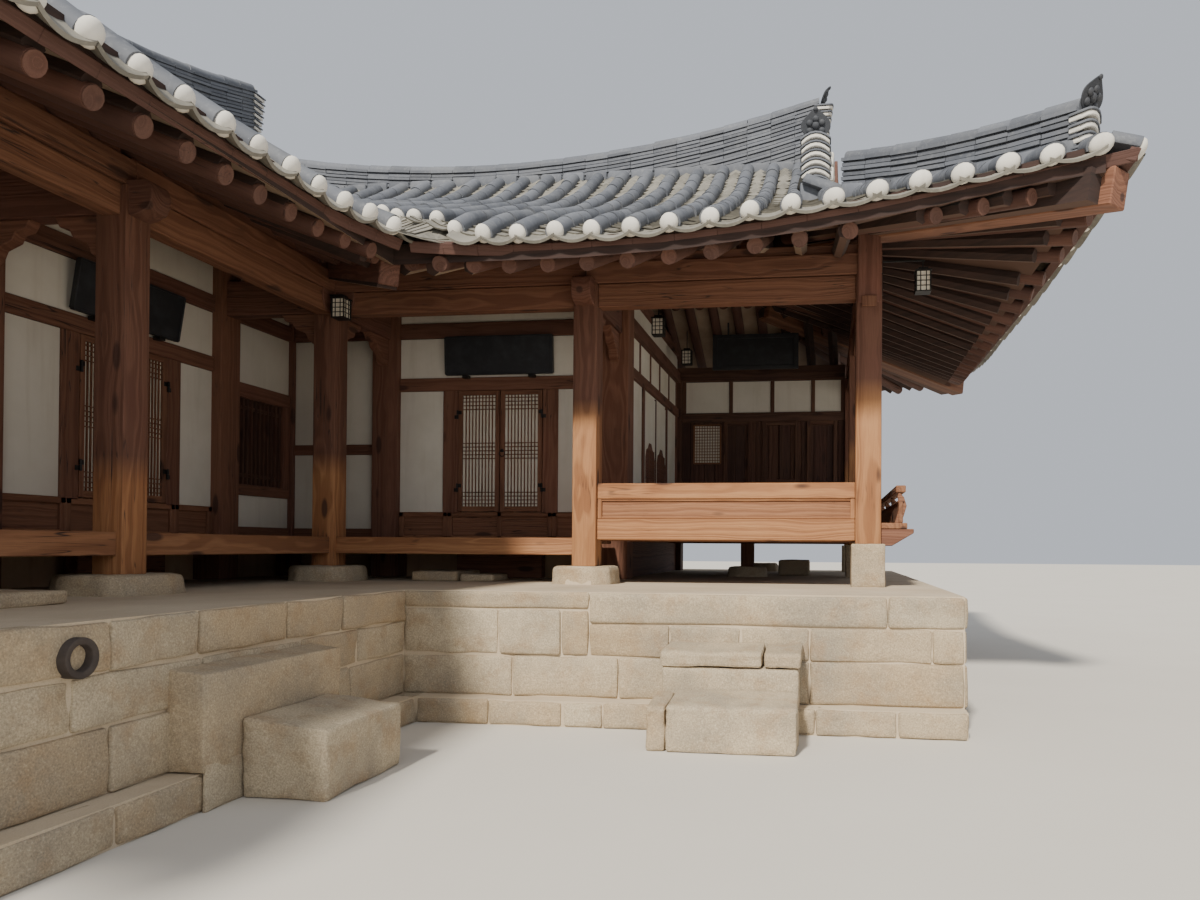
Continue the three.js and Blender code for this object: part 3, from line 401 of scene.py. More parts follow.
# Granite: crystals, tan weathering, grey bruises, dark specks
stone = {"cream": (0.56, 0.465, 0.32), "tan": (0.45, 0.335, 0.2), "grey": (0.36, 0.3, 0.215),
         "ochre": (0.36, 0.225, 0.11), "dark": (0.1, 0.08, 0.06), "quartz": (0.72, 0.65, 0.52)}
granite = surface("granite", 0.9, {"crystals": (95.0, 3.0, 0.65), "specks": (75.0,),
                                   "stains": (1.7, 5.0, 0.62), "patches": (5.5, 4.0, 0.6),
                                   "dents": (14.0, 6.0, 0.7)}, stone["cream"],
                  [("tone", 0.0, 1.0, 0.0, 1.0, stone["tan"]),
                   ("stains", 0.42, 0.68, 0.0, 1.0, stone["grey"]),
                   ("patches", 0.5, 0.75, 0.0, 0.6, stone["ochre"]),
                   ("crystals", 0.3, 0.62, 0.5, 0.0, stone["dark"]),
                   ("specks", 0.06, 0.2, 0.55, 0.0, stone["dark"]),
                   ("crystals", 0.6, 0.8, 0.0, 0.45, stone["quartz"])],
                  [("dents", 0.55, 0.02), ("crystals", 0.35, 0.004)])

# Packed earth on the podium
earth = surface("packedEarth", 0.95, {"cloud": (1.3, 6.0, 0.62), "sand": (120.0, 3.0, 0.7)},
                (0.6, 0.5, 0.36), [("cloud", 0.3, 0.7, 0.0, 1.0, (0.48, 0.38, 0.26)),
                                   ("sand", 0.5, 0.75, 0.0, 0.5, (0.3, 0.23, 0.15))],
                [("cloud", 0.3, 0.03), ("sand", 0.4, 0.003)])


# Fired tile: blue grey, each tile its own tone, with pale bloom and lichen
def tileSurface(name, dark, blue, grey, bloom):
    return surface(name, 0.72, {"cloud": (2.4, 5.0, 0.6), "bloom": (22.0, 4.0, 0.65),
                                "grit": (210.0, 2.0)}, dark,
                   [("tone", 0.0, 1.0, 0.0, 1.0, blue), ("cloud", 0.45, 0.75, 0.0, 0.7, grey),
                    ("bloom", 0.52, 0.78, 0.0, 0.5, bloom)],
                   [("bloom", 0.2, 0.003), ("grit", 0.3, 0.001)])


roundTile = tileSurface("roundTile", (0.085, 0.092, 0.108), (0.145, 0.155, 0.178),
                        (0.165, 0.17, 0.178), (0.25, 0.255, 0.26))
flatTile = tileSurface("flatTile", (0.15, 0.14, 0.115), (0.24, 0.225, 0.19), (0.29, 0.27, 0.225),
                       (0.38, 0.355, 0.29))
reliefTile = tileSurface("reliefTile", (0.03, 0.032, 0.038), (0.055, 0.06, 0.07),
                         (0.07, 0.072, 0.078), (0.13, 0.13, 0.13))


# Black lacquer of the name boards, black iron of the fittings, and fired clay, all a little dusty
def blackSurface(name, color, roughness, metal=0.0):
    dusty = tuple(c * 2.4 + 0.012 for c in color)
    return surface(name, roughness, {"dust": (6.0, 5.0, 0.65), "strokes": ((40, 40, 300), 3.0)},
                   color, [("dust", 0.45, 0.8, 0.0, 0.7, dusty)], [("strokes", 0.25, 0.001)], metal)


blackBoard = blackSurface("blackBoard", (0.012, 0.013, 0.016), 0.5)
iron = blackSurface("blackIron", (0.018, 0.017, 0.016), 0.55, 0.6)
firedClay = blackSurface("firedClay", (0.045, 0.034, 0.028), 0.8)
print("materials made")


# Granite: dressed blocks in courses, each a box that is bevelled, divided and roughened
podium = {"front": 1.65, "back": 0.9, "end": 0.65, "joint": 0.012, "proud": 0.02,
          "courses": (-0.84, -0.51, -0.25, 0.0), "baseOut": 0.18, "floor": -1.04}


def cloudTexture(name, size, depth):
    texture = bpy.data.textures.new(name, "CLOUDS")
    texture.noise_scale = size
    texture.noise_depth = depth
    return texture


hewn, pitted = cloudTexture("hewnStone", 0.22, 3), cloudTexture("pittedStone", 0.045, 2)


def roughen(ob, bevel, levels, coarse, fine):
    soften(ob, bevel, 2, 60)
    useModifier(ob, "SUBSURF", subdivision_type="SIMPLE", levels=levels, render_levels=levels)
    for texture, strength in ((hewn, coarse), (pitted, fine)):
        if strength:
            useModifier(ob, "DISPLACE", texture=texture, texture_coords="GLOBAL",
                        strength=strength, mid_level=0.5)
    places = points(ob)
    places[:, 2] = np.maximum(places[:, 2], podium["floor"])
    setPoints(ob, places)
    return ob


def shapeStones(name, stones, bevel, levels, coarse, fine, smooth=50):
    finish(roughen(join(name, stones), bevel, levels, coarse, fine), granite,
           smooth=smooth)


def facing(axis, line, out, a, b, z0, z1, thick=0.1):
    proud = podium["proud"] + random.uniform(-0.006, 0.008)
    near, far = sorted((line - out * thick, line + out * proud))
    box = (a, b, near, far, z0, z1) if axis == "x" else (near, far, a, b, z0, z1)
    return panel(*box)


def cuts(start, end, length):
    count = max(1, round((end - start) / length))
    step = (end - start) / count
    inner = [start + step * (i + random.uniform(-0.22, 0.22)) for i in range(1, count)]
    return [start, *inner, end]


def course(axis, line, out, marks, z0, z1, thick=0.1):
    gap = podium["joint"] / 2
    stones = []
    for a, b in zip(marks, marks[1:]):
        sag = random.uniform(-0.006, 0.006)
        stones.append(facing(axis, line, out, a + gap, b - gap, z0 + gap, z1 - gap + min(0, sag),
                             thick))
    return stones


def podiumFace(axis, line, out, start, end, length):
    tiers = podium["courses"]
    return [stone for z0, z1 in zip(tiers, tiers[1:])
            for stone in course(axis, line, out, cuts(start, end, length), z0, z1)]


def buildPodium():
    front, side = podium["front"], rightEnd + podium["end"]
    nearEnd = leftEnd - podium["end"]
    rear, back = depth + podium["back"], -depth - podium["back"]
    low, second, first, top = podium["courses"]
    floor = podium["floor"]
    # The courtyard face of the right wing, its joints where the real one has them
    stones = []
    for marks, z0, z1 in (([front, 3.21], -0.14, top), ([3.21, 5.54, side], first, top),
                          ([front, 2.46, 2.98, 3.21], second, -0.14),
                          ([3.21, 3.86, 4.42, 4.95, 5.87, side], second, first),
                          ([front, 2.58, 3.45, 4.2, 4.95, side], low, second)):
        stones += course("x", -front, -1, marks, z0, z1)
    marks = [front + 0.2, 2.45, 3.05, 3.37, 3.95, 5.0, 5.6, side]
    stones += course("x", -front - podium["baseOut"], -1, marks, floor, low, 0.16)
    shapeStones("podiumStonesRight", stones, 0.018, 2, 0.034, 0.011)
    stones = podiumFace("y", front, 1, nearEnd, -front - 0.02, 0.82)
    marks = cuts(nearEnd, -front - 0.2, 1.0)
    stones += course("y", front + podium["baseOut"], 1, marks, floor, low, 0.16)
    shapeStones("podiumStonesCourt", stones, 0.018, 2, 0.038, 0.012)
    for name, axis, line, out, start, end in (("Side", "y", side, 1, -front, rear),
                                              ("Rear", "x", rear, 1, back, side),
                                              ("Back", "y", back, -1, nearEnd, rear),
                                              ("End", "x", nearEnd, -1, back, front)):
        stones = podiumFace(axis, line, out, start, end, 0.95)
        stones += course(axis, line, out, cuts(start, end, 1.1), floor, low)
        shapeStones("podiumStones" + name, stones, 0.018, 1, 0.03, 0.0)
    recolor(earth, "podium_left", "podium_right")


# Stairs: a low block on the yard, and one behind it that stands on the base course
def buildSteps():
    side, front = podium["front"], -podium["front"]
    gap = 0.006
    ledge, floor = podium["courses"][0], podium["floor"]
    flights = {"right_step_upper": [(3.86, 4.62 - gap, front - 0.42, front, -0.5, -0.39),
                                    (4.62 + gap, 4.9, front - 0.41, front, -0.5, -0.395),
                                    (3.87, 4.88, front - 0.41, front, ledge + gap, -0.5 - gap),
                                    (3.87, 4.88, front - 0.41, front - 0.2, floor, ledge)],
               "right_step_lower": [(3.99, 4.885, front - 0.9, front - 0.42 - gap, floor, -0.7),
                                    (3.85, 3.99 - gap, front - 0.88, front - 0.43, floor, -0.715)],
               "left_step_upper": [(side, side + 0.22, -4.3, -2.99, ledge + gap, -0.31),
                                   (side + 0.2, side + 0.22, -4.28, -3.0, floor, ledge + 0.05)],
               "left_step_lower": [(side + 0.22 + gap, side + 0.73, -4.0, -3.14, floor, -0.62)]}
    for node, boxes in flights.items():
        wing, _, level = node.split("_")
        ob = roughen(join(f"{wing}Step{level.title()}", [panel(*box) for box in boxes]), 0.022, 3,
                     0.03, 0.012)
        # the treads fall a little towards the yard, as worn ones do
        places = points(ob)
        out = front - places[:, 1] if wing == "right" else places[:, 0] - side
        places[:, 2] -= np.where(places[:, 2] > -0.74, (out - out.mean()) * 0.1, 0)
        setPoints(ob, places)
        finish(ob, granite, (node,), smooth=50)


# Foot stones: round-cornered boulders with a dressed top, drawn in under the columns
def footStone(x, y, width, length, height):
    ob = addRod(14, 1, height + 0.04, (0, 0, height / 2 - 0.02))
    places = points(ob)
    reach = np.array((width, length))
    squared = np.clip(places[:, :2] * reach / 2, -reach * 0.43, reach * 0.43)
    taper = np.where(places[:, 2] > 0.05, 0.94, 1.0)[:, None]
    places[:, :2] = squared * taper + np.array((x, y))
    setPoints(ob, places)
    return markTone(ob)


def buildFootStones():
    stones = [footStone(0, 0, 0.8, 0.76, 0.155), footStone(bay, 0, 0.74, 0.72, 0.172)]
    stones += [footStone(0, -bay * i, 0.86, 0.84, 0.145) for i in (1, 2)]
    stones += [footStone(bay * 1.5, y, 0.58, 0.54, 0.125) for y in (depth / 2, depth)]
    shapeStones("footStones", stones, 0.035, 2, 0.02, 0.01, 60)
    blocks = [panel(rightEnd - 0.155, rightEnd + 0.155, y - 0.155, y + 0.155, 0, 0.402)
              for y in (0, depth / 2, depth)]
    shapeStones("cornerBlocks", blocks, 0.012, 3, 0.008, 0.006)
    slabs = [panel(0.84, 1.32, 0.12, 0.78, 0, 0.1), panel(1.35, 1.7, 0.16, 0.62, 0, 0.07),
             panel(0.12, 0.57, -5.3, -3.76, 0, 0.085), panel(4.45, 4.85, 3.1, 3.7, 0, 0.2)]
    shapeStones("steppingStones", slabs, 0.02, 3, 0.02, 0.008, 60)


# Clay drain mouth: a turned ring with a thick lip
def buildDrain():
    ob = addRod(40, 0.095, 0.16, (1.64, -4.9, -0.16), (0, math.pi / 2, 0))
    bpy.ops.object.mode_set(mode="EDIT")
    bpy.ops.mesh.select_all(action="DESELECT")
    bpy.ops.object.mode_set(mode="OBJECT")
    for face in ob.data.polygons:
        face.select = len(face.vertices) > 4 and face.normal.x > 0.9
    bpy.ops.object.mode_set(mode="EDIT")
    for width, sink in ((0.012, 0.0), (0.021, -0.004), (0.004, -0.13)):
        bpy.ops.mesh.inset(thickness=width, depth=sink)
    bpy.ops.object.mode_set(mode="OBJECT")
    finish(join("drainMouth", [soften(ob, 0.005, 2, 35)]), firedClay,
           ("drain_mouth",), smooth=40)


buildPodium()
buildSteps()
buildFootStones()
buildDrain()
print("podium, stairs and foot stones laid")


# Timber frame: chamfered square columns, purlins in lengths, lintels and veranda ties
wood = {"edge": 0.006, "lintelLow": 2.71, "purlinLow": 2.935, "purlinHigh": 3.14, "capHigh": 3.235,
        "tieLow": 2.74, "tieHigh": 3.1}


def shapeTimber(name, parts, replaced=(), material=pine,
                edge=wood["edge"], body="house"):
    finish(soften(join(name, parts), edge), material, replaced, body, 30)


def shapePlaster(name, sheets, edge=0.008, segments=2, smooth=40):
    finish(soften(join(name, sheets), edge, segments), plaster, smooth=smooth)


def shapePaper(name, sheets, edge=0.001, body="house"):
    finish(soften(join(name, sheets), edge), paper, body=body)


# A column is cut into lengths at the height where the eave's shade ends, and its foot below that is
# painted paler: real weathering and painted sunlight together
def columnTimber(x, y, foot, top, size, line=1.7):
    ob = timber(x - size, x + size, y - size, y + size, foot, top, 0.0, "z", 0.35)
    cutAcross(ob, [(x, y, line - 0.12), (x, y, line + 0.1)], (0, 0, 1))
    markGrain(ob, "z", 0.0, 0.35)
    # below the shade line the pale weathered colour stands in for sunlight as well as for wear
    mark(ob, "wearAndSun", np.where(points(ob)[:, 2] < line, 0.95, 0.12))
    return ob


def buildColumns():
    # the fourth number is the height of the eave's shade line on each column
    spots = {"corner": (0, 0, 0.15, 1.2), "middle": (bay, 0, 0.17, 1.7),
             "right": (rightEnd, 0, 0.4, 1.85), "left_1": (0, -bay, 0.14, 0.9),
             "left_2": (0, -2 * bay, 0.14, 0.9)}
    for place, (x, y, foot, line) in spots.items():
        ob = soften(columnTimber(x, y, foot, wood["purlinLow"], half, line), 0.012, 2)
        finish(join(f"column{place.replace('_', '')}Post", [ob]), pine,
               ("column_" + place,), smooth=35)


def profileBoard(outline, thickness, along, centre, wearAndSun=0.15):
    # an outline of (reach, height) points, drawn once and extruded to its thickness
    mesh = bpy.data.meshes.new("profile")
    mesh.from_pydata([(r, 0, h) for r, h in outline], [], [range(len(outline))])
    ob = bpy.data.objects.new("profile", mesh)
    bpy.context.scene.collection.objects.link(ob)
    pick(ob)
    bpy.ops.object.mode_set(mode="EDIT")
    bpy.ops.mesh.select_all(action="SELECT")
    bpy.ops.mesh.extrude_region_move(TRANSFORM_OT_translate={"value": (0, thickness, 0)})
    bpy.ops.mesh.select_all(action="SELECT")
    bpy.ops.mesh.normals_make_consistent(inside=False)
    bpy.ops.object.mode_set(mode="OBJECT")
    markGrain(ob, "x", wearAndSun)
    turn = Matrix.Rotation({"x": 0, "y": math.pi / 2, "-x": math.pi, "-y": -math.pi / 2}[along],
                           4, "Z")
    shift = Matrix.Translation((0, -thickness / 2, 0))
    ob.data.transform(Matrix.Translation(centre) @ turn @ shift)
    return ob


# Ogee bracket under a tie beam, and the rounded head of a beam that comes through a column
ogee = [(0, 0), (0, -0.3), (0.05, -0.31), (0.1, -0.27), (0.13, -0.2), (0.2, -0.17), (0.25, -0.15),
        (0.28, -0.09), (0.36, -0.07), (0.4, 0)]
beamHead = [(0, -0.13), (0, 0.12), (0.16, 0.12), (0.19, 0.1), (0.215, 0.04), (0.21, -0.03),
            (0.18, -0.09), (0.12, -0.12), (0.06, -0.135)]


def buildBeams():
    low, high = wood["purlinLow"], wood["purlinHigh"]
    lintel = wood["lintelLow"]
    tieLow, tieHigh, cap = wood["tieLow"], wood["tieHigh"], wood["capHigh"]
    tie = wallLine - 0.15
    parts = []
    for start, end in ((-half, bay), (bay, rightEnd + half)):
        parts += [timber(start, end, -0.1, 0.1, low + 0.006, high, 0.16),
                  timber(start, end, -0.06, 0.06, high - 0.01, cap, 0.1)]
    parts += [timber(x + half, x + bay - half, -0.078, 0.075, lintel, low, 0.22) for x in (0, bay)]
    for x in (0, bay):
        parts += [timber(x - 0.08, x + 0.08, half, tie, tieLow, tieHigh, 0.05),
                  profileBoard(ogee, 0.1, "y", (x, half, tieLow)),
                  profileBoard(ogee, 0.1, "-y", (x, tie, tieLow)),
                  profileBoard(beamHead, 0.19, "-y", (x, -0.09, 2.85), 0.05)]
    parts += [timber(-tie, -half, -0.08, 0.08, tieLow, tieHigh, 0.05),
              profileBoard(ogee, 0.1, "-x", (-half, 0, tieLow)),
              # the right column's head stands up in front of the purlin
              timber(rightEnd - 0.105, rightEnd + 0.105, -0.135, 0.0, 2.66, 3.3, 0.02, "z"),
              timber(rightEnd - 0.07, rightEnd + 0.07, -0.16, -0.13, 2.62, 2.72, 0.25, "z")]
    shapeTimber("frontBeamsRight", parts, ("right_front_beams",))

    parts = []
    for far in (0, -bay, -2 * bay):
        near = max(far - bay, leftEnd + 0.1)
        parts += [timber(-0.1, 0.1, near, far if far else -0.1, low + 0.006, high, 0.22),
                  timber(-0.06, 0.06, near, far - 0.1, high - 0.01, cap, 0.1),
                  timber(-0.075, 0.078, far - bay + half, far - half, lintel, low, 0.3)]
    for y in (-bay, -2 * bay):
        parts += [timber(-tie, -half, y - 0.08, y + 0.08, tieLow, tieHigh, 0.05),
                  profileBoard(ogee, 0.1, "-x", (-half, y, tieLow)),
                  profileBoard(ogee, 0.1, "x", (-tie, y, tieLow)),
                  profileBoard(beamHead, 0.19, "x", (0.09, y, 2.85), 0.05)]
    parts.append(profileBoard(beamHead, 0.19, "x", (0.09, 0, 2.85), 0.05))
    shapeTimber("frontBeamsLeft", parts, ("left_front_beams",))

    middle = depth / 2
    # the side columns too are painted paler below a shade line: painted sunlight and wear
    parts = [columnTimber(rightEnd, y, 0.4, low, half, 1.6) for y in (middle, depth)]
    parts += [timber(rightEnd - 0.075, rightEnd + 0.075, y0 + half, y1 - half, lintel, low, 0.2)
              for y0, y1 in ((0, middle), (middle, depth))]
    parts.append(timber(rightEnd - 0.1, rightEnd + 0.1, 0.1, depth + 0.1, low, high, 0.15))
    shapeTimber("sideFrame", parts, ("right_side_frame",))


buildColumns()
buildBeams()
print("columns and beams raised")


# Room walls: posts, rails and panelled sill in pine, lime plaster between
room = {"wall": 0.13, "sheet": 0.085, "floor": 0.447, "sill": 0.75, "head": 2.15, "jamb": 0.18,
        "door": 1.01, "beam": 2.76, "top": 3.68, "post": 0.15}
front, back = wallLine - room["wall"] / 2, wallLine + room["wall"] / 2
sheetFront, sheetBack = wallLine - room["sheet"] / 2, wallLine + room["sheet"] / 2
floorLevel, sillLevel, headLevel = room["floor"], room["sill"], room["head"]
beamLevel, roomTop = room["beam"], room["top"]
post, jamb = room["post"], room["jamb"]
purlinLow = wood["purlinLow"]


# A framed band with sunk panels, as under the doors
def sunkPanels(span, u0, u1, count, z0, z1):
    rail = 0.055
    parts = [timber(*span(u0, u1, front, back, z1 - rail, z1), 0.35),
             timber(*span(u0, u1, front, back, z0 - 0.1, z0 + rail * 0.6), 0.45)]
    for i in range(count + 1):
        u = min(max(u0 + (u1 - u0) / count * i, u0 + rail / 2), u1 - rail / 2)
        parts.append(timber(*span(u - rail / 2, u + rail / 2, front, back, z0, z1), 0.3, "z"))
    parts.append(timber(*span(u0, u1, front + 0.03, back - 0.02, z0, z1), 0.3))
    return parts


def beamBand(span, u0, u1):
    return [timber(*span(u0, u1, front - 0.01, back + 0.01, z0, z1), 0.05)
            for z0, z1 in ((beamLevel, purlinLow), (roomTop - 0.17, roomTop))]


def wallPost(span, u, wearAndSun):
    box = span(u - post, u + post, wallLine - post, wallLine + post, 0, roomTop)
    return timber(*box, wearAndSun, "z", 0.3)


def jambPost(span, u):
    return timber(*span(u, u + jamb, front, back, sillLevel - 0.02, headLevel), 0.16, "z")


def wallSheet(span, u0, u1, z0, z1, over=0.01):
    return panel(*span(u0 - over, u1 + over, sheetFront, sheetBack, z0, z1))


def doorWall(side, span, u0, u1, middle):
    left, right = middle - room["door"] / 2, middle + room["door"] / 2
    near = [wallPost(span, u0, 0.12), jambPost(span, left - jamb)]
    near += sunkPanels(span, u0 + post, left - jamb + 0.06, 1, floorLevel, sillLevel)
    shapeTimber(side + "WallNearTimber", near, (side + "_wall_near",))
    far = [wallPost(span, u1, 0.2), jambPost(span, right)]
    far += sunkPanels(span, right + jamb - 0.06, u1 - post, 1, floorLevel, sillLevel)
    shapeTimber(side + "WallFarTimber", far, (side + "_wall_far",))
    start, end = u0 + post, u1 - post
    over = [timber(*span(start, end, front - 0.004, back, headLevel, headLevel + 0.15), 0.16)]
    over += beamBand(span, start, end)
    shapeTimber(side + "WallHeadTimber", over, (side + "_wall_over",))
    sill = sunkPanels(span, left - jamb + 0.06, right + jamb - 0.06, 2, floorLevel,
                      sillLevel - 0.001)
    sill.append(timber(*span(left, right, front, back, 0, floorLevel - 0.1), 0.2))
    shapeTimber(side + "DoorSill", sill, (side + "_door_sill",))
    shapePlaster(side + "WallPlaster", [wallSheet(span, start, left - jamb, sillLevel, headLevel),
                                        wallSheet(span, right + jamb, end, sillLevel, headLevel),
                                        wallSheet(span, start, end, headLevel + 0.15, beamLevel),
                                        wallSheet(span, start, end, purlinLow, roomTop - 0.17)])


# Lattice: bars cross in three bands of squares, and run on upright between them
lattice = {"bar": 0.009, "deep": 0.02, "stile": 0.05, "columns": 9, "pitch": 0.044}


def latticeBars(span, u0, u1, v0, z0, z1, bands, columns):
    bar, deep = lattice["bar"] / 2, lattice["deep"]
    bars = []
    for i in range(1, columns + 1):
        u = u0 + (u1 - u0) * i / (columns + 1)
        bars.append(timber(*span(u - bar, u + bar, v0, v0 + deep, z0, z1), 0.3, "z"))
    for share, rows in bands:
        for row in range(rows):
            z = z0 + (z1 - z0) * share + (row - (rows - 1) / 2) * lattice["pitch"]
            bars.append(timber(*span(u0, u1, v0 + 0.002, v0 + deep - 0.002, z - bar, z + bar), 0.3,
                               "x" if span is spanRight else "y"))
    return bars


doorBands = ((0.075, 4), (0.5, 5), (0.925, 4))


def leafTimbers(span, u0, u1, v0, z0, z1, bands=doorBands, columns=lattice["columns"], thick=0.04):
    stile = lattice["stile"]
    across = "x" if span is spanRight else "y"
    a, b, foot = u0 + stile, u1 - stile, z0 + stile * 1.2
    parts = [timber(*span(u0, a, v0, v0 + thick, z0, z1), 0.25, "z"),
             timber(*span(b, u1, v0, v0 + thick, z0, z1), 0.25, "z"),
             timber(*span(a, b, v0, v0 + thick, z1 - stile, z1), 0.25, across),
             timber(*span(a, b, v0, v0 + thick, z0, foot), 0.35, across)]
    return parts + latticeBars(span, a, b, v0 + 0.006, foot, z1 - stile, bands, columns)


def ironRing(span, u, v, z, name, body):
    place = Vector(span(u, u, v, v, z, z)[::2])
    clearPick()
    turn = (math.pi / 2, 0, 0) if span is spanRight else (math.pi / 2, 0, math.pi / 2)
    bpy.ops.mesh.primitive_torus_add(location=place, rotation=turn, major_radius=0.032,
                                     minor_radius=0.0045, major_segments=24, minor_segments=8)
    ring = settle(bpy.context.object)
    out = Vector(span(0, 0, -0.004, -0.004, 0, 0)[::2])
    plate = soften(addRod(20, 0.02, 0.014, place - out + Vector((0, 0, 0.034)), turn), 0.003, 2)
    finish(join(name, [ring, plate]), iron, body=body, smooth=40)


def doorLeaf(side, which, span, u0, u1, away):
    name, body = f"{side}Door{which.title()}", f"{side}_leaf_{which}"
    z0, z1 = sillLevel + 0.006, headLevel - 0.006
    shapeTimber(name + "Lattice", leafTimbers(span, u0, u1, front, z0, z1),
                (f"{side}_door_{which}",), edge=0.0015, body=body)
    shapePaper(name + "Paper", [panel(*span(u0 + 0.03, u1 - 0.03, front + 0.027, front + 0.034,
                                            z0 + 0.03, z1 - 0.03))], body=body)
    pinLine = u0 - 0.003 if away > 0 else u1 + 0.003
    x, y = span(pinLine, pinLine, front - 0.016, front - 0.016, 0, 0)[::2][:2]
    for owner, rise, sign, ownerBody in (("Jamb", 0.0, -away, "house"),
                                           ("Leaf", 0.0503, away, body)):
        parts = []
        for z in (sillLevel + 0.23 + rise, headLevel - 0.33 + rise):
            parts.append(soften(addRod(16, 0.0115, 0.049, (x, y, z + 0.025)), 0.002, 1, 60))
            strap = addBox(*span(*sorted((pinLine, pinLine + sign * 0.044)), front - 0.006,
                                 front + 0.004, z + 0.004, z + 0.046))
            parts.append(soften(strap, 0.002))
        finish(join(f"{name}Hinge{owner}", parts), iron, body=ownerBody, smooth=40)


def buildDoors():
    for side, span, middle in (("right", spanRight, bay / 2), ("left", spanLeft, -bay / 2 + 0.065)):
        start, end = (0, bay) if side == "right" else (-bay, 0)
        doorWall(side, span, start, end, middle)
        reach, gap = room["door"] / 2, 0.006
        doorLeaf(side, "near", span, middle - reach + gap, middle - gap, 1)
        doorLeaf(side, "far", span, middle + gap, middle + reach - gap, -1)
        ironRing(span, middle + 0.03, front - 0.006, 1.42, side + "DoorRing", side + "_leaf_far")
    print("double doors hung")


def buildCornerWalls():
    low = (floorLevel - 0.1, floorLevel + 0.11)
    start, end = -wallLine + 0.1, -0.15
    parts = [timber(start - 0.2, start, wallLine - 0.1, wallLine + 0.1, 0, roomTop, 0.05, "z"),
             timber(start, end, front, back, 1.42, 1.54, 0.1),
             timber(start, end, front, back, *low, 0.2)]
    parts += beamBand(spanRight, start, end)
    shapeTimber("cornerTimberRight", parts, ("corner_wall_right",))
    sheets = [wallSheet(spanRight, start, end, z0, z1)
              for z0, z1 in ((floorLevel + 0.1, 1.43), (1.53, beamLevel), (purlinLow, 3.52))]
    shapePlaster("cornerPlasterRight", sheets)

    start, end = post, wallLine - 0.1
    parts = [timber(*spanLeft(start, end, front, back, 1.96, 2.12), 0.1),
             timber(*spanLeft(start, end, front, back, 0.9, 1.02), 0.15),
             timber(*spanLeft(start, end, front, back, *low), 0.2)]
    for u in (start + 0.06, end - 0.06):
        parts.append(timber(*spanLeft(u - 0.06, u + 0.06, front, back, 1.0, 1.98), 0.1, "z"))
    parts += beamBand(spanLeft, start, end)
    shapeTimber("cornerTimberLeft", parts, ("corner_wall_left",))
    sheets = [wallSheet(spanLeft, start, end, z0, z1)
              for z0, z1 in ((floorLevel + 0.1, 0.91), (2.11, beamLevel), (purlinLow, 3.52))]
    shapePlaster("cornerPlasterLeft", sheets)
    # barred window with dark boards behind; their darkened pine is painted shade
    a, b = start + 0.12, end - 0.12
    bars = [timber(*spanLeft(a, b, wallLine, wallLine + 0.025, 1.0, 1.98), 0.0, "z")]
    for i in range(11):
        u = start + 0.15 + i * (end - start - 0.3) / 10
        bars.append(timber(*spanLeft(u - 0.015, u + 0.015, wallLine - 0.04, wallLine - 0.01, 1.0,
                                     1.98), 0.1, "z"))
    bars += [timber(*spanLeft(a, b, wallLine - 0.03, wallLine, z - 0.02, z + 0.02), 0.1)
             for z in (1.12, 1.86)]
    shapeTimber("cornerWindow", bars, ("corner_window",), shadedDarkPine, 0.002)


# Far bays of the left wing: the same wall again, with fixed lattice doors
def buildFarBays():
    parts = [wallPost(spanLeft, -2 * bay, 0.12)]
    sheets, leaves, papers = [], [], []
    for u0, u1, middle in ((-2 * bay + post, -bay - post, -1.5 * bay),
                           (leftEnd + half, -2 * bay - post, -2.5 * bay)):
        left, right = middle - room["door"] / 2, middle + room["door"] / 2
        topStart = max(u0, leftEnd + wallLine + 0.1)
        parts += sunkPanels(spanLeft, u0, u1, 4, floorLevel, sillLevel)
        for start, proud, inner, z0, z1, wearAndSun in (
                (u0, 0.004, 0.0, headLevel, headLevel + 0.15, 0.16),
                (u0, 0.01, 0.01, beamLevel, purlinLow, 0.05),
                (topStart, 0.01, 0.01, roomTop - 0.17, roomTop, 0.05)):
            parts.append(timber(*spanLeft(start, u1, front - proud, back + inner, z0, z1), wearAndSun))
        parts += [jambPost(spanLeft, u) for u in (left - jamb, right)]
        sheets += [wallSheet(spanLeft, u0, left - jamb, sillLevel, headLevel),
                   wallSheet(spanLeft, right + jamb, u1, sillLevel, headLevel),
                   wallSheet(spanLeft, u0, u1, headLevel + 0.15, beamLevel),
                   panel(*spanLeft(topStart, u1 + 0.01, sheetFront, sheetBack, purlinLow,
                                   roomTop - 0.17))]
        for a, b in ((left, middle - 0.004), (middle + 0.004, right)):
            leaves += leafTimbers(spanLeft, a, b, front, sillLevel, headLevel)
            papers.append(panel(*spanLeft(a + 0.03, b - 0.03, front + 0.027, front + 0.034,
                                          sillLevel + 0.03, headLevel - 0.03)))
    shapeTimber("farBayTimber", parts, ("left_far_wall",))
    shapePlaster("farBayPlaster", sheets)
    shapeTimber("farBayDoors", leaves, ("left_far_doors",), edge=0.0015)
    shapePaper("farBayPaper", papers)


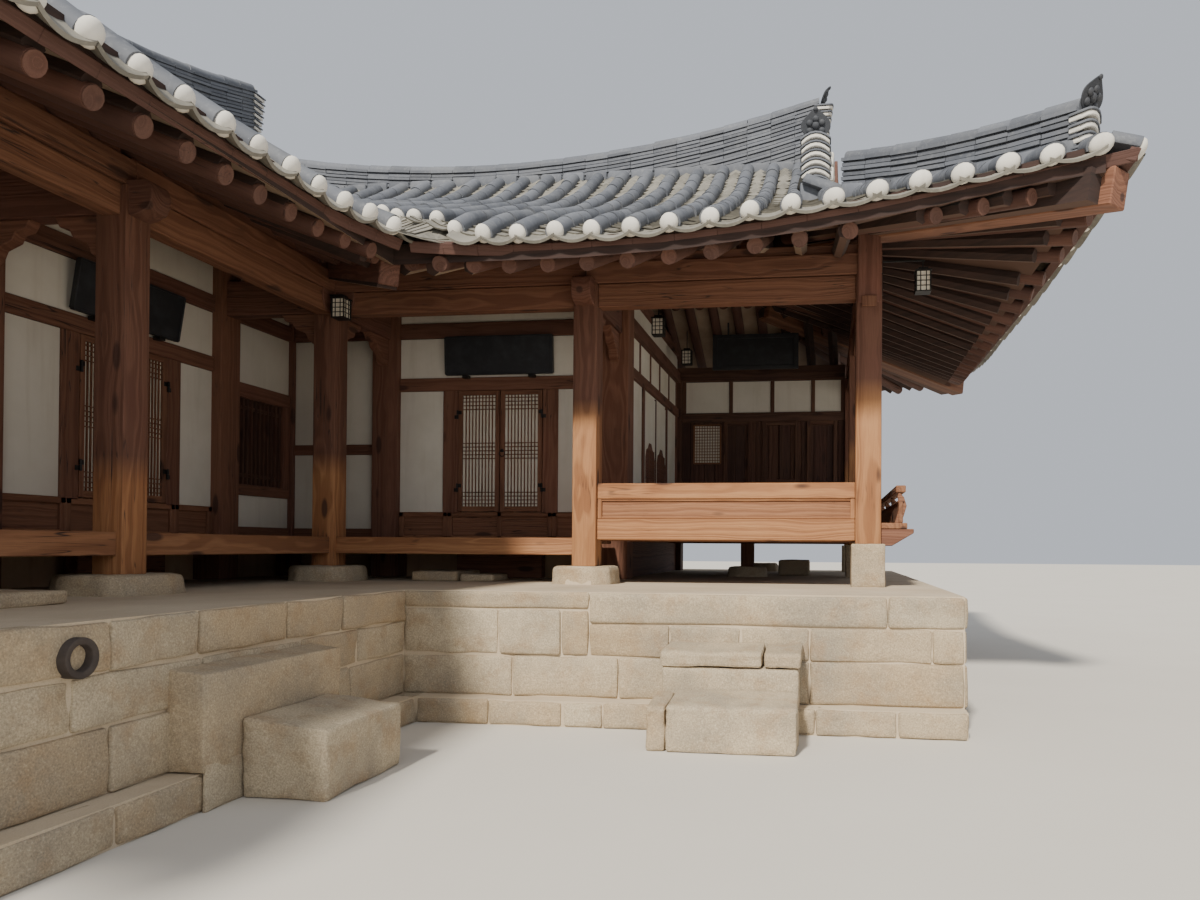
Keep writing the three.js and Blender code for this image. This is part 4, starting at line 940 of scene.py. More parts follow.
# Outer walls on the hidden sides: posts, rails and purlins, small paired lattice windows
def outerWall(name, node, axis, posts, line, out, windows, windowNode=None):
    def span(u0, u1, v0, v1, z0, z1):
        low, high = sorted((line - out * v0, line - out * v1))
        return (u0, u1, low, high, z0, z1) if axis == "x" else (low, high, u0, u1, z0, z1)

    first, last = posts[0], posts[-1]
    wall, lintel = room["wall"] / 2, wood["lintelLow"]
    parts = [timber(*span(first, last, -deep, deep, z0, z1), wearAndSun)
             for deep, z0, z1, wearAndSun in ((wall, 0, 0.35, 0.35), (wall, 2.15, 2.3, 0.2),
                                        (wall, lintel, purlinLow, 0.15),
                                        (0.1, purlinLow, wood["purlinHigh"], 0.1))]
    for place in posts:
        u = min(max(place, first + half), last - half)
        parts.append(timber(*span(u - half, u + half, -half, half, 0, purlinLow), 0.3, "z", 0.3))
    marks = list(posts)
    sheets, leaves, papers = [], [], []
    for u in windows:
        parts += [timber(*span(u + side - 0.05, u + side + 0.05, -wall, wall, 0.35, 2.15), 0.2, "z")
                  for side in (-0.43, 0.43)]
        parts += [timber(*span(u - 0.48, u + 0.48, -wall, wall, 0.9, 1.0), 0.25),
                  timber(*span(u - 0.48, u + 0.48, -wall, wall, 2.1, 2.16), 0.2)]
        for a, b in ((u - 0.38, u - 0.002), (u + 0.002, u + 0.38)):
            leaves += leafTimbers(span, a, b, -0.05, 1.0, 2.1, ((0.08, 3), (0.5, 3), (0.92, 3)), 6)
            papers.append(panel(*span(a + 0.03, b - 0.03, -0.02, -0.013, 1.03, 2.07)))
        marks += [u - 0.48, u + 0.48]
    marks.sort()
    for a, b in zip(marks, marks[1:]):
        inWindow = any(abs((a + b) / 2 - u) < 0.45 for u in windows)
        for z0, z1 in ((0.34, 0.91 if inWindow else 2.16), (2.29, lintel + 0.01)):
            sheets.append(panel(*span(a - 0.01, b + 0.01, -0.043, 0.043, z0, z1)))
    shapeTimber(name + "Timber", parts, (node,))
    shapePlaster(name + "Plaster", sheets, 0.006, 1)
    if leaves:
        shapeTimber(name + "Windows", leaves, (windowNode,), edge=0.0015)
        shapePaper(name + "Paper", papers)


def buildOuterWalls():
    outerWall("rearWall", "rear_wall", "x", [-depth + 0.1, -depth / 2, 0, bay - half], depth, 1,
              [-depth * 0.75, -depth / 4, bay / 2], "rear_windows")
    outerWall("backWall", "back_wall", "y",
              [leftEnd + 0.1, -2 * bay, -bay, 0, depth / 2, depth + half], -depth, -1,
              [-2.5 * bay, -bay / 2, bay / 2 - 0.08], "back_windows")
    outerWall("endWall", "left_end_wall", "x", [-depth - half, -depth / 2 - 0.6, -wallLine, half],
              leftEnd, -1, [])


# Veranda: a grained fascia between the columns and long boards behind it
veranda = {"thick": 0.055, "fascia": 0.168, "boards": 6}


def buildVeranda():
    top, edge = floorLevel, front
    low, under = top - veranda["fascia"], top - veranda["thick"]
    count = veranda["boards"]

    def runs(length):
        return [(half + length * i / count, half + length * (i + 1) / count - 0.004)
                for i in range(count)]

    parts = [timber(half, bay - half, -0.078, half, low, top, 0.85)]
    for y0, y1 in runs(edge - half):
        last = len(parts) == count
        start, end = (0.15, bay - 0.15) if last else (-0.095, bay - 0.005)
        parts.append(timber(start, end, y0, y1, under, top - random.uniform(0, 0.002), 0.45))
    parts += [timber(x - 0.05, x + 0.05, half, edge, under - 0.1, under, 0.1, "y")
              for x in (0.5, 1.35, 2.2)]
    shapeTimber("verandaRight", parts, ("veranda_right",))
    parts = [timber(*spanLeft(-bay * (i + 1) + half, -bay * i - half, -0.078, half, low, top),
                    0.55 + 0.1 * random.random()) for i in range(3)]
    for v0, v1 in runs(wallLine - 0.15 - half):
        parts += [timber(*spanLeft(u0, u1, v0, v1, under, top - random.uniform(0, 0.002)), 0.4)
                  for u0, u1 in ((leftEnd + 0.065, -bay - 0.003), (-bay + 0.003, 1.1))]
    parts.append(timber(*spanLeft(-bay + 0.15, -0.15, wallLine - 0.16, edge, under, top), 0.4))
    parts += [timber(*spanLeft(u - 0.05, u + 0.05, half, 1.1, under - 0.1, under), 0.1, "x")
              for u in (-0.6, -1.9, -3.3, -4.6, -6.0, -7.3)]
    shapeTimber("verandaLeft", parts, ("veranda_left",))
    recolor(clayFill, "room_floor")


buildDoors()
buildCornerWalls()
buildFarBays()
buildOuterWalls()
buildVeranda()
print("walls, windows and verandas built")


# Pavilion: raised plank floor, panelled rail, plank rear wall, papered side doors
hall = {"x0": bay + half, "x1": rightEnd - half, "floor": 0.6, "railTop": 0.981, "plank": 0.24}


def pavilionRail():
    x0, x1 = hall["x0"], hall["x1"]
    parts = [timber(x0, x1, -0.078, 0.075, 0.43, 0.635, 0.95),
             timber(x0, x1, -0.074, 0.07, 0.828, hall["railTop"], 1.0),
             timber(x0, x1, -0.045, 0.02, 0.63, 0.832, 0.6)]
    for x in (x0 + 0.022, x1 - 0.022):
        parts.append(timber(x - 0.022, x + 0.022, -0.07, 0.04, 0.635, 0.828, 0.9, "z"))
    parts += [timber(x0, x1, -0.062, -0.04, z - 0.011, z + 0.011, 0.9) for z in (0.646, 0.817)]
    shapeTimber("pavilionRailFront", parts, ("pavilion_rail_front",))

    outer = rightEnd + 0.3
    scroll = [(0, 0), (0.05, -0.06), (0.075, -0.14), (0.05, -0.23), (0.02, -0.3), (0.035, -0.36),
              (0.08, -0.4), (0.05, -0.41), (-0.01, -0.38), (-0.035, -0.3), (-0.01, -0.22),
              (0.01, -0.14), (-0.01, -0.05)]
    bracket = [(0, 0), (0.3, 0), (0.3, -0.04), (0.1, -0.16), (0, -0.16)]
    parts = [timber(start, end, -0.1, depth + 0.1, z0, z1, wearAndSun, "y")
             for start, end, z0, z1, wearAndSun in ((rightEnd + half, outer + 0.06, 0.545, 0.6, 0.5),
                                              (outer - 0.02, outer + 0.02, 0.6, 0.8, 0.35),
                                              (outer - 0.045, outer + 0.045, 0.885, 0.95, 0.45),
                                              (outer - 0.03, outer + 0.03, 0.79, 0.81, 0.3))]
    parts += [timber(rightEnd - 0.02, rightEnd + half + 0.01, y0 + half, y1 - half, 0.43, 0.6, 0.3)
              for y0, y1 in ((0, depth / 2), (depth / 2, depth))]
    for i in range(7):
        y = -0.06 + i * (depth + 0.12) / 6
        start = rightEnd + (0.1 if 0 < i < 6 else half)
        parts += [profileBoard(scroll, 0.05, "x", (outer - 0.02, y, 0.9), 0.3),
                  profileBoard(bracket, 0.06, "x", (start, y, 0.545), 0.2)]
    shapeTimber("pavilionRailSide", parts, ("pavilion_rail_right",))


def pavilionFloor():
    x0, x1, top = hall["x0"], hall["x1"], hall["floor"]
    under = top - 0.06
    joists = [0.08, depth / 4, depth / 2, depth * 0.75, depth - 0.16]
    parts = [timber(x0, x1, y, y + 0.1, under - 0.12, top, 0.35) for y in joists]
    count = round((x1 - x0) / hall["plank"])
    for y0, y1 in zip(joists, joists[1:]):
        for i in range(count):
            a = x0 + (x1 - x0) * i / count
            parts.append(timber(a + 0.002, a + (x1 - x0) / count - 0.002, y0 + 0.1, y1, under,
                                top - random.uniform(0, 0.003), 0.35, "y"))
    parts += [timber(bay + 0.02, x0, wallLine + 0.15, depth - 0.15, 0.45, top, 0.2),
              timber(x1, rightEnd - 0.02, half, depth / 2 - half, 0.43, top, 0.3),
              timber(x1, rightEnd - 0.02, depth / 2 + half, depth - half, 0.43, top, 0.3)]
    shapeTimber("pavilionFloor", parts, ("pavilion_floor",))
    x, y = bay * 1.5, depth / 2
    prop = timber(x - 0.08, x + 0.08, y - 0.08, y + 0.08, 0.12, under - 0.12, 0.2, "z")
    shapeTimber("pavilionFloorPost", [prop], ("pavilion_floor_post",), shadedDarkPine, 0.01)


def pavilionRear():
    x0, x1 = hall["x0"] - 0.01, hall["x1"]
    line = depth
    parts = [timber(x0, x1, line - 0.075, line + 0.075, 0.43, 0.7, 0.1),
             timber(x0, x1, line - 0.065, line + 0.065, 2.3, 2.44, 0.1),
             timber(x0, x1, line - 0.075, line + 0.075, 2.92, 3.14, 0.08),
             timber(bay - half, x0, line - half, line + half, 0, 2.955, 0.1, "z", 0.3),
             timber(bay - half, x1, line - 0.1, line + 0.1, purlinLow, wood["purlinHigh"], 0.08)]
    # planks of uneven widths, with two framed shutters and a board door among them
    x = x0
    while x < x1 - 0.05:
        wide = min(random.uniform(0.13, 0.24), x1 - x)
        parts.append(timber(x + 0.002, x + wide - 0.002, line - 0.022 - random.uniform(0, 0.006),
                            line + 0.022, 0.69, 2.31, 0.12 * random.random(), "z"))
        x += wide
    parts.append(timber(x0, x1, line + 0.015, line + 0.03, 0.69, 2.31, 0.05))
    for a, b, z0 in ((3.52, 3.9, 0.7), (4.12, 4.62, 1.35), (4.8, 5.2, 0.7)):
        parts += [timber(x - 0.03, x + 0.03, line - 0.06, line - 0.02, z0, 2.3, 0.15, "z")
                  for x in (a, b)]
        parts += [timber(a, b, line - 0.055, line - 0.02, z - 0.03, z + 0.03, 0.15)
                  for z in (z0 + 0.03, 2.27)]
    parts.append(timber(4.35, 4.41, line - 0.05, line - 0.02, 1.38, 2.24, 0.1, "z"))
    parts += [timber(x - 0.03, x + 0.03, line - 0.05, line + 0.05, 2.44, 2.92, 0.12, "z")
              for x in (x0 + 0.03, 3.6, 4.24, 4.86, x1 - 0.03)]
    shapeTimber("pavilionRearTimber", parts, ("pavilion_rear_wall",), shadedDarkPine, 0.004)
    sheets = [panel(x0, x1, line - 0.035, line + 0.035, 2.43, 2.93)]
    shapePlaster("pavilionRearPlaster", sheets, 0.006, 1, None)
    # the pale square lattice window with its paper
    a, b, z0, z1 = 3.03, 3.44, 1.66, 2.25
    near = line - 0.06
    bars = [timber(a, b, near, near + 0.035, z - 0.012, z + 0.012, 0.5) for z in (z0, z1)]
    bars += [timber(x - 0.012, x + 0.012, near, near + 0.035, z0, z1, 0.5, "z") for x in (a, b)]
    bars += [timber(x - 0.004, x + 0.004, near + 0.005, near + 0.02, z0, z1, 0.5, "z")
             for x in (a + (b - a) * i / 10 for i in range(1, 10))]
    bars += [timber(a, b, near + 0.006, near + 0.019, z - 0.004, z + 0.004, 0.5)
             for z in (z0 + (z1 - z0) * i / 13 for i in range(1, 13))]
    shapeTimber("rearLattice", bars, edge=0.001)
    shapePaper("rearLatticePaper", [panel(a, b, line - 0.04, line - 0.034, z0, z1)])


def archPanel(u0, u1, z0, z1):
    # a dark lattice panel with a rounded ogee top, as on the lower half of the papered doors
    middle, reach = (u0 + u1) / 2, (u1 - u0) / 2
    outline = [(-reach, z0), (reach, z0), (reach, z1 - 0.2), (reach * 0.8, z1 - 0.1),
               (reach * 0.45, z1 - 0.07), (reach * 0.2, z1), (-reach * 0.2, z1),
               (-reach * 0.45, z1 - 0.07), (-reach * 0.8, z1 - 0.1), (-reach, z1 - 0.2)]
    parts = [profileBoard(outline, 0.012, "y", (bay + 0.038, middle, 0), 0.1)]
    for i in range(1, 6):
        u = u0 + (u1 - u0) * i / 6
        parts.append(timber(bay + 0.04, bay + 0.055, u - 0.006, u + 0.006, z0, z1 - 0.09, 0.2, "z"))
    for i in range(1, 12):
        z = z0 + (z1 - 0.15 - z0) * i / 12
        parts.append(timber(bay + 0.04, bay + 0.052, u0, u1, z - 0.005, z + 0.005, 0.2, "y"))
    return parts


def pavilionSide():
    near, far = wallLine + post, depth - half
    doors = (2.56, 3.33, 4.1)
    parts = [timber(bay - 0.065, bay + 0.03, near, far, 0, 0.68, 0.1),
             timber(bay - 0.065, bay + 0.065, near, far, 2.38, 2.5, 0.12),
             timber(bay - 0.09, bay + 0.09, near, far, 2.9, 3.06, 0.08),
             timber(bay - 0.08, bay + 0.08, near, far, 3.3, 3.44, 0.05)]
    parts += [timber(bay - 0.03, bay + 0.035, y - 0.022, y + 0.022, 2.5, 2.9, 0.1, "z")
              for y in (near + 0.03, 2.33, 2.99, 3.64, 4.36, far - 0.03)]
    parts += [timber(bay - 0.05, bay + 0.045, y - 0.035, y + 0.035, 0.68, 2.38, 0.1, "z")
              for y in (near + 0.03, doors[0] - 0.05, doors[2] + 0.05, far - 0.03)]
    for y0, y1 in zip(doors, doors[1:]):
        parts += [timber(bay - 0.02, bay + 0.042, y - 0.012, y + 0.012, 0.7, 2.36, 0.1, "z")
                  for y in (y0 + 0.012, y1 - 0.012)]
        parts += archPanel(y0 + 0.09, y1 - 0.09, 0.85, 1.72)
    shapeTimber("pavilionSideTimber", parts, ("pavilion_side_wall",), edge=0.002)
    sheets = [panel(bay - 0.02, bay + 0.02, near, far, z0, z1)
              for z0, z1 in ((0.67, 2.4), (2.49, 2.91))]
    sheets += [panel(bay - 0.015, bay + 0.034, y0 + 0.03, y1 - 0.03, 0.72, 2.34)
               for y0, y1 in zip(doors, doors[1:])]
    shapePaper("pavilionPaper", sheets, 0.003)
    upper = [panel(bay - 0.04, bay + 0.04, near, far, 3.05, 3.31)]
    shapePlaster("pavilionSidePlaster", upper, 0.004, 1, None)


pavilionRail()
pavilionFloor()
pavilionRear()
pavilionSide()
print("pavilion built")


# Bare black boards, leaning out over the doors on iron brackets, and one framed in the pavilion
def leaningBoard(name, node, span, middle, reach, rim):
    low, high = 2.33, 2.75
    left, right = middle - reach, middle + reach
    edge = rim / 2
    parts = [addBox(*span(left, right, front - 0.055, front - 0.022, low, high))]
    parts += [addBox(*span(u - edge, u + edge, front - 0.066, front - 0.012, low, high))
              for u in (left, right)]
    parts += [addBox(*span(left, right, front - 0.064, front - 0.014, z - edge, z + edge))
              for z in (low, high)]
    ob = join(name, parts)
    hinge = Vector(span(middle, middle, front - 0.02, front - 0.02, low, low)[::2])
    axis, angle = ("X", 4) if span is spanRight else ("Y", 9)
    lean = Matrix.Rotation(math.radians(angle), 4, axis)
    ob.data.transform(Matrix.Translation(hinge) @ lean @ Matrix.Translation(-hinge))
    finish(soften(markTone(ob), 0.003), blackBoard, (node,))
    hooks = [addBox(*span(u - 0.035, u + 0.035, front - 0.08, front, low - 0.05, low - 0.015))
             for u in (middle - reach * 0.62, middle + reach * 0.62)]
    finish(soften(join(name + "Hooks", hooks), 0.004), iron)


def hangingBoard():
    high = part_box("hanging_board")[1]
    middle, line = bay * 1.5 - 0.06, depth - 0.8
    parts = [addBox(middle - 0.56, middle + 0.56, line, line + 0.02, 3.0, 3.42)]
    parts += [addBox(x - 0.035, x + 0.035, line - 0.02, line + 0.03, 2.955, 3.47)
              for x in (middle - 0.59, middle + 0.59)]
    parts += [addBox(middle - 0.61, middle + 0.61, line - 0.018, line + 0.028, z - 0.03, z + 0.03)
              for z in (2.985, 3.44)]
    ob = soften(join("hangingBoard", parts), 0.006, 2)
    straps = [addBox(x - 0.012, x + 0.012, line + 0.01, line + 0.025, 3.46, high.z - origin.z)
              for x in (middle - 0.4, middle + 0.4)]
    finish(join("hangingBoard", [ob, *straps]), blackBoard, ("hanging_board",))


# Lanterns: a black iron cage with pale panes under a small roof, hung from a bracket
lamp = {"wide": 0.13, "high": 0.185, "bar": 0.006}


def lantern(name, x, y, z, arm=None):
    w, h, bar = lamp["wide"] / 2, lamp["high"], lamp["bar"]

    def around(dx, dy, wx, wy, z0, z1):
        return addBox(x + dx - wx, x + dx + wx, y + dy - wy, y + dy + wy, z + z0, z + z1)

    parts = [around(0, 0, w + 0.012, w + 0.012, h, h + 0.012),
             around(0, 0, w * 0.7, w * 0.7, h + 0.012, h + 0.04),
             around(0, 0, w + 0.006, w + 0.006, -0.01, 0)]
    for side in (-w, w):
        parts += [around(side, other, bar, bar, 0, h) for other in (-w, w)]
        for offset in (-w * 0.4, w * 0.4):
            parts += [around(offset, side, 0.004, 0.004, 0, h),
                      around(side, offset, 0.004, 0.004, 0, h)]
        for share in (0.25, 0.5, 0.75):
            low, high = h * share - 0.004, h * share + 0.004
            parts += [around(0, side, w, 0.003, low, high), around(side, 0, 0.003, w, low, high)]
    if arm:
        parts += [addBox(*box) for box in arm]
    else:
        parts.append(around(0, 0, 0.006, 0.006, h + 0.04, h + 0.3))
    finish(soften(join(name, parts), 0.002), iron)
    pane = join(name + "Pane", [around(0, 0, w - 0.006, w - 0.006, 0.002, h - 0.002)])
    finish(soften(markTone(pane), 0.004, 2), paper)


def buildBoards():
    leaningBoard("nameBoardRight", "name_board_right", spanRight, 1.365, 0.63, 0.02)
    leaningBoard("nameBoardLeft", "name_board_left", spanLeft, -1.33, 0.6, 0.02)
    hangingBoard()
    armX = rightEnd + half
    lantern("lanternRight", armX + 0.38, -0.02, 2.77,
            [(armX, armX + 0.4, -0.026, -0.014, 3.06, 3.075),
             (armX, armX + 0.012, -0.03, -0.01, 2.75, 3.12),
             (armX + 0.374, armX + 0.386, -0.026, -0.014, 2.98, 3.07)])
    lantern("lanternHall", bay + 0.38, 1.7, 2.85)
    lantern("lanternRear", bay + 0.33, depth - 1.0, 3.01)
    lantern("lanternCorner", 0.22, -0.19, 2.65,
            [(0.1, 0.23, -0.2, -0.12, 2.87, 2.89)])


buildBoards()
print("boards and lanterns hung")


# Roofs: the two wings meet in a valley, their ends are hipped, and the corners rise and reach out
roof = {"eave": 2.93, "slope": 0.42, "half": 3.975, "right": 5.03, "left": 5.45, "lift": 0.44,
        "swing": 0.25, "reach": 3.8, "pitch": 0.32, "tile": 0.3, "radius": 0.08, "plate": 0.115,
        "verge": 5.15, "nearVerge": -7.88, "log": 0.069}
farLine, rearLine = rightEnd + eave, depth + eave
backLine, nearLine = -depth - eave, leftEnd - eave
slopes = {"Front": ((0, -eave), (1, 0), (0, 1), "right"),
          "Far": ((farLine, 0), (0, 1), (-1, 0), "right"),
          "Rear": ((0, rearLine), (-1, 0), (0, -1), "right"),
          "Court": ((eave, 0), (0, 1), (-1, 0), "left"),
          "Near": ((0, nearLine), (1, 0), (0, 1), "left"),
          "Back": ((backLine, 0), (0, -1), (1, 0), "left")}
eaveCorners = [(farLine, -eave), (farLine, rearLine), (backLine, rearLine), (backLine, nearLine),
               (eave, nearLine)]
rightSeat, leftSeat = roof["right"], roof["left"]
chance = np.random.default_rng(11)


def tileHeight(s, seat):
    sag = (seat - roof["eave"] - roof["slope"] * roof["half"]) / roof["half"] ** 2
    plain = roof["eave"] + roof["slope"] * s + sag * s * s
    short = seat - roof["eave"] - roof["slope"] * 3.825 - sag * 3.825 ** 2
    return plain + 0.016 * np.clip(s / 0.4, 0, 1) + short * np.maximum(0, s - 2.95) / 0.82


# Points of the plain roof are lifted and swung out where two eaves meet
def bend(places):
    for corner in eaveCorners:
        out = np.sign(corner)
        near = 1 - np.maximum(0, (corner - places[:, :2]) * out) / roof["reach"]
        share = np.where((near > 0).all(1), near[:, 0] * near[:, 1], 0).clip(0)
        places[:, 2] += roof["lift"] * share ** 1.75
        places[:, :2] += out * (roof["swing"] * share ** 1.5)[:, None]
    x, y, _ = places.T
    # the left wing's courtyard eave sags towards its near end, the far eave reaches out further
    sag = 0.03 * (-1.6 - y).clip(0, 3.2) * ((y + 9.6) / 3.6).clip(0, 1)
    near = np.where(places[:, 2] < 2.79, (x / eave).clip(0, 1) ** 2, ((x - 1.29) / 0.12).clip(0, 1))
    places[:, 2] -= sag * near
    places[:, 0] += 0.11 * (x - 4.9).clip(0, 2.1)
    # where the two courtyard eaves meet, the corner is filled out to a round one
    near = 1 - np.hypot(x - eave, y + eave) / 1.1
    places[:, :2] += np.outer(0.2 * near.clip(0) ** 1.5, (1, -1))
    return places


# Beside the valley the tiles are bedded higher
def valleyLift(x, y):
    share = (1 - (x + y - 0.5) / 2.2).clip(0, 1) * ((2.3 - y) / 1.9).clip(0, 1)
    return 0.15 * (1 - np.exp(-np.maximum(0, y + eave) / 0.6)) * share


def onSlope(slope, u, s):
    start, along, inward, _ = slopes[slope]
    return start[0] + along[0] * u + inward[0] * s, start[1] + along[1] * u + inward[1] * s


# Flat shapes are made with x along the eave, y up the slope and z off the tiles, then laid
def lay(ob, slope):
    seat = roof[slopes[slope][3]]
    u, s, h = points(ob).T
    tilt = (tileHeight(s + 0.01, seat) - tileHeight(s - 0.01, seat)) / 0.02
    norm = np.sqrt(1 + tilt ** 2)
    x, y = onSlope(slope, u, s - h * tilt / norm)
    upper = s > 1.72
    if slope in ("Front", "Rear"):
        x = np.where(upper, np.minimum(x, roof["verge"]), x)
    if slope in ("Court", "Back"):
        y = np.where(upper, np.maximum(y, roof["nearVerge"]), y)
    z = tileHeight(s, seat) + h / norm - 0.06 * (s.clip(0, 4) / 3.8) ** 2 * (h > 0.012)
    if slope == "Front":
        z += valleyLift(x, y)
    setPoints(ob, bend(np.column_stack((x, y, z))))
    return ob


def roofTop(x, y):
    rear = tileHeight(rearLine - y, rightSeat)
    right = np.minimum(tileHeight(y + eave, rightSeat), rear)
    end = np.minimum(right, tileHeight(farLine - x, rightSeat))
    right = np.where(x > roof["verge"], end, right)
    left = np.minimum(tileHeight(eave - x, leftSeat), tileHeight(x - backLine, leftSeat))
    left = np.minimum(left, rear)
    end = np.minimum(left, tileHeight(y - nearLine, leftSeat))
    left = np.where(y < roof["nearVerge"], end, left)
    return np.maximum(np.where(x < -depth / 2, -9, right), np.where(x > eave, -9, left))


# The stretch of a row, up the slope, that no other slope covers
def seenRun(slope, u):
    s = np.arange(0, 3.82, 0.02)
    seen = np.abs(tileHeight(s, roof[slopes[slope][3]]) - roofTop(*onSlope(slope, u, s))) < 0.004
    best, first = (0, 0), None
    for i, on in enumerate([*seen, False]):
        if on and first is None:
            first = i
        if not on and first is not None:
            best = max(best, (first, i), key=lambda run: run[1] - run[0])
            first = None
    if best[1] - best[0] < 6:
        return None
    low, high = s[best[0]], s[best[1] - 1]
    return low, 2.08 if slope in ("Far", "Near") and abs(high - 1.7) < 0.05 else high


def rowPlaces(slope):
    if slope == "Front":
        places = np.array([1.88 + 0.3238 * k - 0.00098 * k * k for k in range(-13, 17)] + [7.3])
        return list(np.where(places < 4.9, places, 4.9 + (places - 4.9) / 1.11))
    if slope == "Court":
        return [-1.64 - 0.3325 * k for k in range(-12, 24)]
    middle, reach = {"Far": (depth / 2, 12), "Rear": (-0.155, 20), "Near": (-depth / 2, 12),
                     "Back": (1.52, 25)}[slope]
    return [middle + roof["pitch"] * k for k in range(-reach, reach + 1)]


def repeatUp(model, u, low, high, step, direction=1):
    row = model.copy()
    row.data = model.data.copy()
    bpy.context.scene.collection.objects.link(row)
    count = max(1, round((high - low) / step))
    offset = [0, 0, 0]
    offset[direction] = step
    useModifier(row, "ARRAY", count=count, use_relative_offset=False, use_constant_offset=True,
                constant_offset_displace=offset)
    places = points(row)
    places[:, direction] = low + places[:, direction] * (high - low) / (count * step)
    places[:, 1 - direction] += u
    setPoints(row, places)
    return row


# Every tile gets its own tone, and sits a little out of line
def loosen(ob, size, amount):
    count = len(ob.data.vertices) // size
    mark(ob, "tone", np.repeat(chance.random(count), size))
    setPoints(ob, points(ob) + np.repeat(chance.normal(0, amount, (count, 3)), size, axis=0))
    return ob


def roundModel(radius, length, along):
    ob = addRod(16, radius, length, (0, length / 2, 0), (math.pi / 2, 0, 0))
    cutAcross(ob, [(0, 0, -0.035)], (0, 0, 1), clear_inner=True, use_fill=True)
    places = points(ob)
    places[:, (0, 2)] *= np.where(places[:, 1] > length * 0.6, 0.94, 1.0)[:, None]
    if along == "x":
        places = places[:, (1, 0, 2)] * (1, -1, 1)
    setPoints(ob, places)
    return ob


# A flat tile starts as a grid: its rows are placed along the slope and bowed across
def gridModel(columns, rows, width, across, along, height):
    clearPick()
    bpy.ops.mesh.primitive_grid_add(x_subdivisions=columns, y_subdivisions=rows, size=1)
    ob = settle(bpy.context.object)
    places = points(ob)
    row = np.round((places[:, 1] + 0.5) * rows).astype(int)
    share = (places[:, 0] * 2) ** 2
    places[:, 0] *= width
    places[:, 1] = np.choose(row, along)
    places[:, 2] = np.choose(row, [level + rise * share for level, rise in zip(height, across)])
    setPoints(ob, places)
    return ob


def plateModel(width, length):
    return gridModel(4, 2, width, (0.06, 0.06, 0.06), (0.003, 0.0, length), (0.01, 0.025, 0.006))


# The first tile of each gap hangs over the eave: its lip dips between the plugs
def lipModel(width):
    return gridModel(8, 3, width, (0.052, 0.052, 0.052, 0.06), (0.02, -0.1, -0.104, 0.1),
                     (-0.032, -0.036, -0.012, 0.012))


def plugModel():
    clearPick()
    bpy.ops.mesh.primitive_uv_sphere_add(segments=14, ring_count=8, radius=0.079)
    ob = settle(bpy.context.object)
    ob.data.transform(Matrix.Diagonal((0.94, 0.62, 1, 1)))
    return ob


def dressSlopes():
    tube = roundModel(roof["radius"], roof["tile"], "y")
    plate = plateModel(0.32, 0.165)
    plug = plugModel()
    lip = lipModel(0.33)
    tube.data.transform(Matrix.Translation((0, 0, 0.055)))
    for slope in slopes:
        rows, sheets, ends, lips = [], [], [], []
        us = rowPlaces(slope)
        for u in us:
            run = seenRun(slope, u)
            if run:
                low = run[0] + 0.15 if run[0] > 0.05 else -0.03
                if slope == "Front" and u < 1.9:
                    low = 1.97 - u
                rows.append(repeatUp(tube, u, low, max(run[1], low + 0.2), roof["tile"]))
                ends.append(Matrix.Translation((u, low - 0.008, 0.056)))
        edge = us[0] - (us[1] - us[0]) / 2
        for u in [edge] + [(a + b) / 2 for a, b in zip(us, us[1:])] + [2 * us[-1] - us[-2]]:
            run = seenRun(slope, u)
            if run:
                low = run[0] + 0.06 if run[0] > 0.05 else 0.06
                if slope == "Front" and u < 1.9:
                    low = 1.86 - u
                elif run[0] <= 0.05:
                    lips.append(Matrix.Translation((u, 0, 0)))
                sheets.append(repeatUp(plate, u, low, run[1], roof["plate"]))
        for name, ob, model, loose, material, slot, smooth in (
                ("roundTiles", join("rows", rows), tube, 0.004, roundTile, "roof_tile", 45),
                ("flatTiles", join("sheets", sheets), plate, 0.0035, flatTile, "roof_tile", None),
                ("lipTiles", copyTo(lip, lips, "lips"), lip, 0.003, flatTile, "roof_tile", 30),
                ("plugs", copyTo(plug, ends, "ends"), plug, 0.005, mortar, "plaster", 60)):
            loosen(join(name + slope, [ob]), len(model.data.vertices), loose)
            finish(lay(ob, slope), material, smooth=smooth)
    discard(tube, plate, plug, lip)


# The valley gutter: broad dished plates that lap down the line where the two wings meet
def dressValley():
    plate = plateModel(0.62, 0.17)
    line = np.arange(0, 3.6, 0.02)
    across = [line[np.argmin(np.abs(tileHeight(line, rightSeat) - tileHeight(s, leftSeat)))]
              for s in line]
    ob = repeatUp(plate, 0.1, -0.28, 4.7, 0.14)
    loosen(join("valleyTiles", [ob]), len(plate.data.vertices), 0.003)
    discard(plate)
    v, t, w = points(ob).T
    sx = np.minimum(t / math.sqrt(2), line[-1])
    sy = np.where(t < 0, sx, np.interp(sx, line, across))
    x, y = eave - sx + v / math.sqrt(2), -eave + sy + v / math.sqrt(2)
    left = tileHeight(sx, leftSeat)
    bed = np.maximum(np.where(t < 0, left, roofTop(x, y)), left + 0.02) + w * 0.6
    bed += valleyLift(x, y) * ((x + y + 0.25) / 0.75).clip(0, 1)
    setPoints(ob, bend(np.column_stack((x, y, bed))))
    finish(ob, flatTile)
